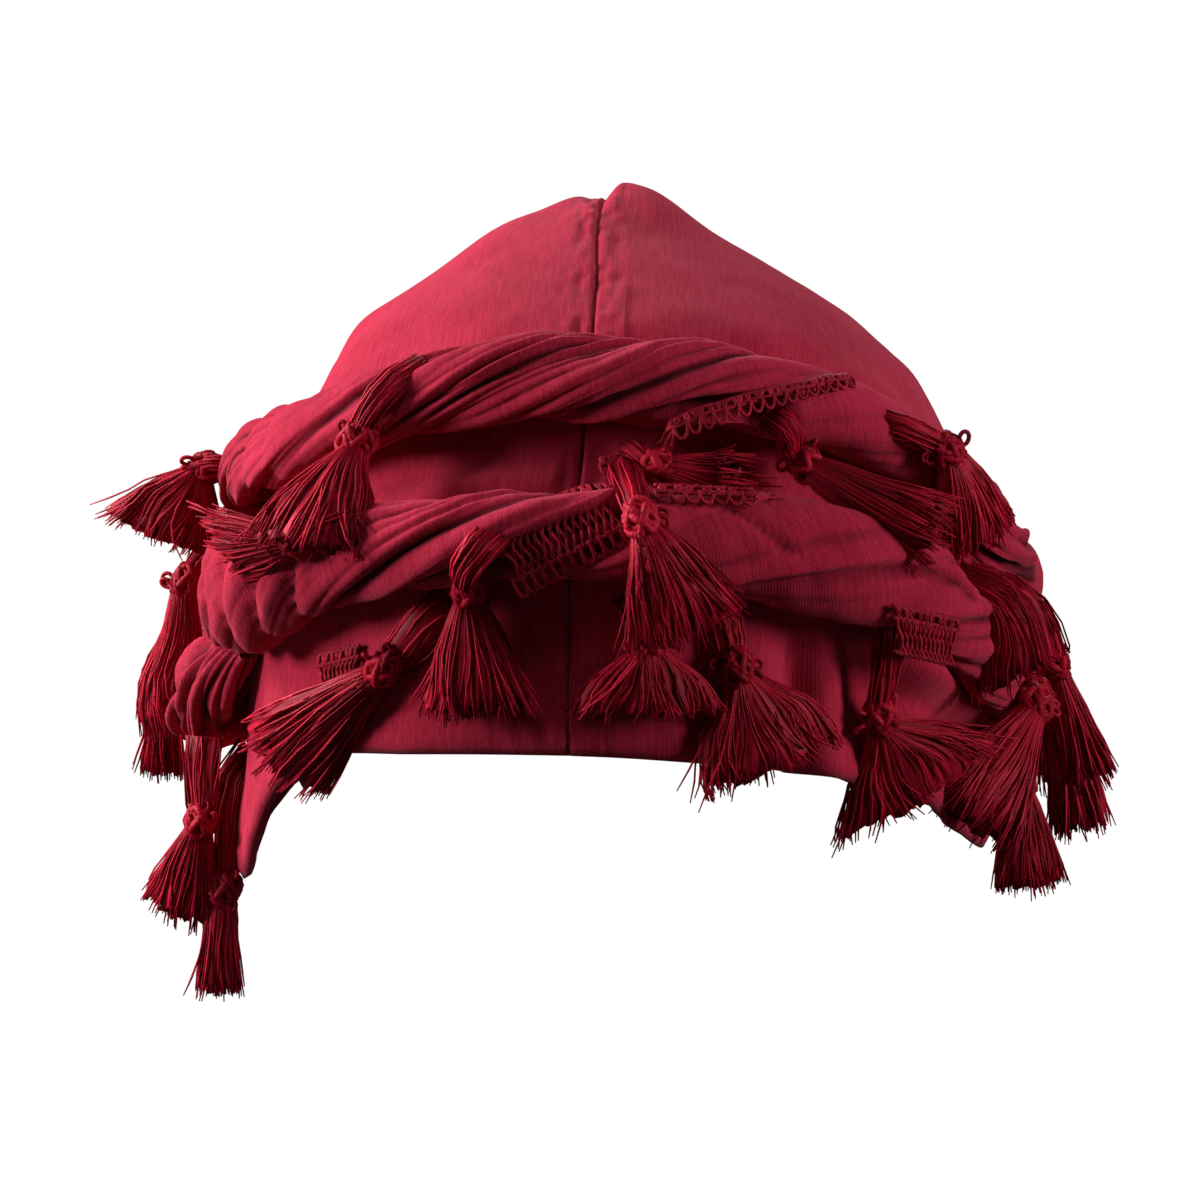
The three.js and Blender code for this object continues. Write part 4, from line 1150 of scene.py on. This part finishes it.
def skirt_body(random, skirt, sides, widths, shift, phase):
    """The closed body inside the skirt: fluted in step with the locks, and closed at the tips."""
    ring = circle(BODY_COLUMNS)
    edge = ring[:, 0]
    plump = random.uniform(0.84, 0.95, BODY_COLUMNS)
    plump = plump - 0.08 * np.cos(2 * np.pi * LOCKS * (edge + shift))
    place = (ring * plump[:, None])[:, None] * BODY["wide"][:, None]
    place[..., :1] += sway_of(phase, BODY["down"], edge)[..., :1]
    reach = 0.9 + 0.06 * random.uniform(-1, 1, BODY_COLUMNS) - 0.07 * edge**2
    return bunch(skirt, sides, widths, place, reach[:, None] * BODY["down"])


def stem_parts(random, stem, sides, half):
    """The stem's loosely waved strands, and a plain body inside them."""
    steps = np.linspace(0, 1, STEM_STEPS)
    widths = (np.interp(np.arange(STEM_POINTS), [0, 11, STEM_POINTS - 1], [half, 0.8 * half, 2.4]),
              np.full(STEM_POINTS, STEM_THICK))
    place = disc(random, STEM_STRANDS)[:, None] * np.ones((1, STEM_STEPS, 1))
    wave = np.sin(6 * steps[:, None] + random.uniform(0, 6.3, (STEM_STRANDS, 1, 2)))
    rings = 0.8 * circle(STEM_COLUMNS)[:, None] * np.ones((1, STEM_STEPS, 1))
    return (bunch(stem, sides, widths, spot, np.broadcast_to(steps, spot.shape[:2]))
            for spot in (place + 0.1 * wave, rings))


def tassel(number):
    """One tassel: stem, braided knot, and a skirt of strands in locks, over fluted bodies that
    stand for the hundreds of strands that no one sees. Returns the bodies, and each bunch of tubes
    as its lines, radius, sides, the direction its rings start from and a change of shade."""
    random = np.random.default_rng(100 + number)
    row = {key: value[number] for key, value in TASSELS.items()}
    stem, skirt = tassel_line(row)
    out, turned = outward(row["knot_at"]), math.radians(row["turned"])
    flat, face = frames(skirt, out, turned)
    stem_sides = frames(stem, out, turned)
    widths = skirt_widths(row["spread"])
    strands, shift, phase = skirt_strands(random, skirt, (flat, face), widths)
    body = skirt_body(random, skirt, (flat, face), widths, shift, phase)
    stems, stem_body = stem_parts(random, stem, stem_sides, row["stem"])
    middle, tangent = skirt[0], unit(skirt[2] - stem[-3])
    knots = knot_lines(random, middle, flat[0], face[0], tangent)
    loops = loop_lines(random, middle, flat[0], face[0], tangent)
    rise = np.linspace(-1, 1, 9)
    core = (middle + (3.4 * rise)[:, None] * tangent)[None]
    bead = 2.7 * np.sqrt(np.maximum(1 - rise**2, 0.02))
    return (body, stem_body), [
        (strands, STRAND_RADIUS, 3, face.mean(0), 0),
        (stems, STRAND_RADIUS, 3, stem_sides[1].mean(0), 0),
        (knots, 0.92, 6, tangent, -0.25),
        (loops, 0.5, 5, face[0], -0.2),
        # The bead inside the knot takes nearly the deepest yarn colour: painted shade for the knot's
        # inside.
        (core, bead, 8, flat[0], -0.9),
    ]


print("strands drawn in a tassel:", STRANDS + STEM_STRANDS)

# %% Joining and placing the tassels
BODY_CELL = (0.6, 3.5)  # mm of yarn across and along one cell of a body
BODY_PAINTED_SHADE = 0.35  # the bodies are darker than this, so that the strands stand out: painted shade for the shadow among the strands
TIP = 0.6  # a strand's last ring is this share as wide


def join_tubes(bodies, parts, random):
    """The bodies and the bunches of tubes as one list of points and faces, with each strand's own
    shade and each point's distance along its strand. The bodies' walls come first, as they alone
    have places on a cloth map."""
    points, walls, others, corners, shades, alongs, base = [], [], [], [], [], [], 0
    for body in bodies:
        columns, steps = body.shape[:2]
        first = np.arange(columns)[None] * steps + base
        faces, corner = grid_faces(columns, steps, closed=True)
        points.append(body.reshape(-1, 3))
        walls.append(faces + base)
        others += [first[:, ::-1], first + steps - 1]
        corners.append(corner * BODY_CELL)
        # Painted shade: each column of a body gets a dark shade.
        shades.append(np.repeat(random.uniform(0.0, BODY_PAINTED_SHADE, columns), steps))
        alongs.append(np.zeros(columns * steps))
        base += columns * steps
    for lines, radius, sides, reference, darker in parts:
        taper = np.ones(lines.shape[1])
        taper[-1] = TIP if sides == 3 else 1
        tube_points, tube_faces = tubes(lines, radius * taper, sides, reference)
        shade = np.clip(random.uniform(0, 1, len(lines)) + darker, 0, 1)
        points.append(tube_points)
        others += [part + base for part in tube_faces]
        shades.append(np.repeat(shade, len(tube_points) // len(lines)))
        alongs.append(np.repeat(way_along(lines).ravel(), sides))
        base += len(tube_points)
    return (np.concatenate(points), walls + others, np.concatenate(corners),
            np.concatenate(shades), np.concatenate(alongs))


total = 0
for number in range(len(TASSELS["spread"])):
    random = np.random.default_rng(200 + number)
    points, faces, uv, shade, along = join_tubes(*tassel(number), random)
    node = f"tassel_{number + 1:02d}"
    piece = new_piece(node + "_yarn", points, faces, YARN, uv=uv, shade=shade, along=along)
    face_outwards(piece)
    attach(piece, "root")
    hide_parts(node)
    total += triangles(piece)
print("27 tassels,", total, "triangles")

# %% [markdown]
# ## The room
# A pale sweep of paper runs from under the hat up behind it. Two soft boxes stand at the left, one
# high and one low, and a weaker one low at the right, so the left is lit, the right is darker and
# the middle of the brow is darkest. A weak lamp in front from above softens the tops of the folds,
# and one behind parts the peak from the paper. The paper looks white to the camera but throws
# little light back, so that the undersides of the folds stay deep.

# %% Floor and backdrop


def paper_finish(name, glow, bounce):
    """Paper: to the camera it glows evenly white, and to every other ray it is a dim matt grey."""
    finish, tree = new_finish(name)
    path = add_node(tree, "LightPath")
    matt = add_node(tree, "BsdfDiffuse", Color=(bounce, bounce, bounce, 1))
    light = add_node(tree, "Emission", Color=(glow, glow, glow, 1), Strength=1.0)
    both = add_node(tree, "MixShader", {0: path.outputs["Is Camera Ray"], 1: matt.outputs[0],
                                        2: light.outputs[0]})
    end_with(tree, both)
    return finish


FLOOR = -230.0  # mm: well below the hat, which hangs as it would on a head
BEND = 900.0  # mm: radius of the sweep's bend
CURVE_POINTS = 24
FRONT, BEHIND, TOP, ASIDE = -3000, 1800, 3200, 4000.0  # mm: how far the paper reaches
turn = np.linspace(0, np.pi / 2, CURVE_POINTS)
sweep_y = np.concatenate([[FRONT], BEHIND - BEND + BEND * np.sin(turn), [BEHIND]])
sweep_z = np.concatenate([[FLOOR], FLOOR + BEND - BEND * np.cos(turn), [TOP]])
sweep = np.stack([np.stack([np.full(len(turn) + 2, x), sweep_y, sweep_z], -1)
                  for x in (ASIDE, -ASIDE)])
floor = new_piece("paper_sweep", sweep.reshape(-1, 3), [grid_faces(*sweep.shape[:2])[0]],
                  paper_finish("matt_white_paper", 1.0, 0.06))
print("floor at", FLOOR, "mm")

# %% Lamps
WARM, WHITE = (1, 0.985, 0.97), (1, 1, 1)
# Name, degrees round the hat, degrees up, metres away, metres across, watts and colour.
LAMPS = (("high_left_soft_box", -102, 32, 1.3, 0.45, 20, WARM),
         ("low_left_soft_box", -78, 12, 1.3, 0.4, 17, WARM),
         ("low_right_soft_box", 74, 14, 1.4, 0.5, 12, WHITE),
         ("top_lamp", -10, 54, 1.8, 0.6, 4, WHITE),
         ("back_lamp", 172, 40, 1.5, 0.6, 6, WHITE))
for name, at, up, distance, size, power, tint in LAMPS:
    light = bpy.data.lights.new(name, "AREA")
    light.size, light.energy, light.color = size, power, tint
    place_facing(bpy.data.objects.new(name, light), at, up, distance)

AIR = 0.02  # the room's own light, which the camera sees as full white
world = bpy.data.worlds.new("room")
world.use_nodes = True
air = world.node_tree
sight = add_node(air, "LightPath").outputs["Is Camera Ray"]
strength = add_node(air, "MapRange", {0: sight}, {"To Min": AIR})
air.links.new(strength.outputs[0], air.nodes["Background"].inputs[1])
air.nodes["Background"].inputs[0].default_value = (1, 1, 1, 1)
bpy.context.scene.world = world
bpy.context.scene.view_settings.view_transform = "Standard"
print("lamps:", ", ".join(lamp[0] for lamp in LAMPS))
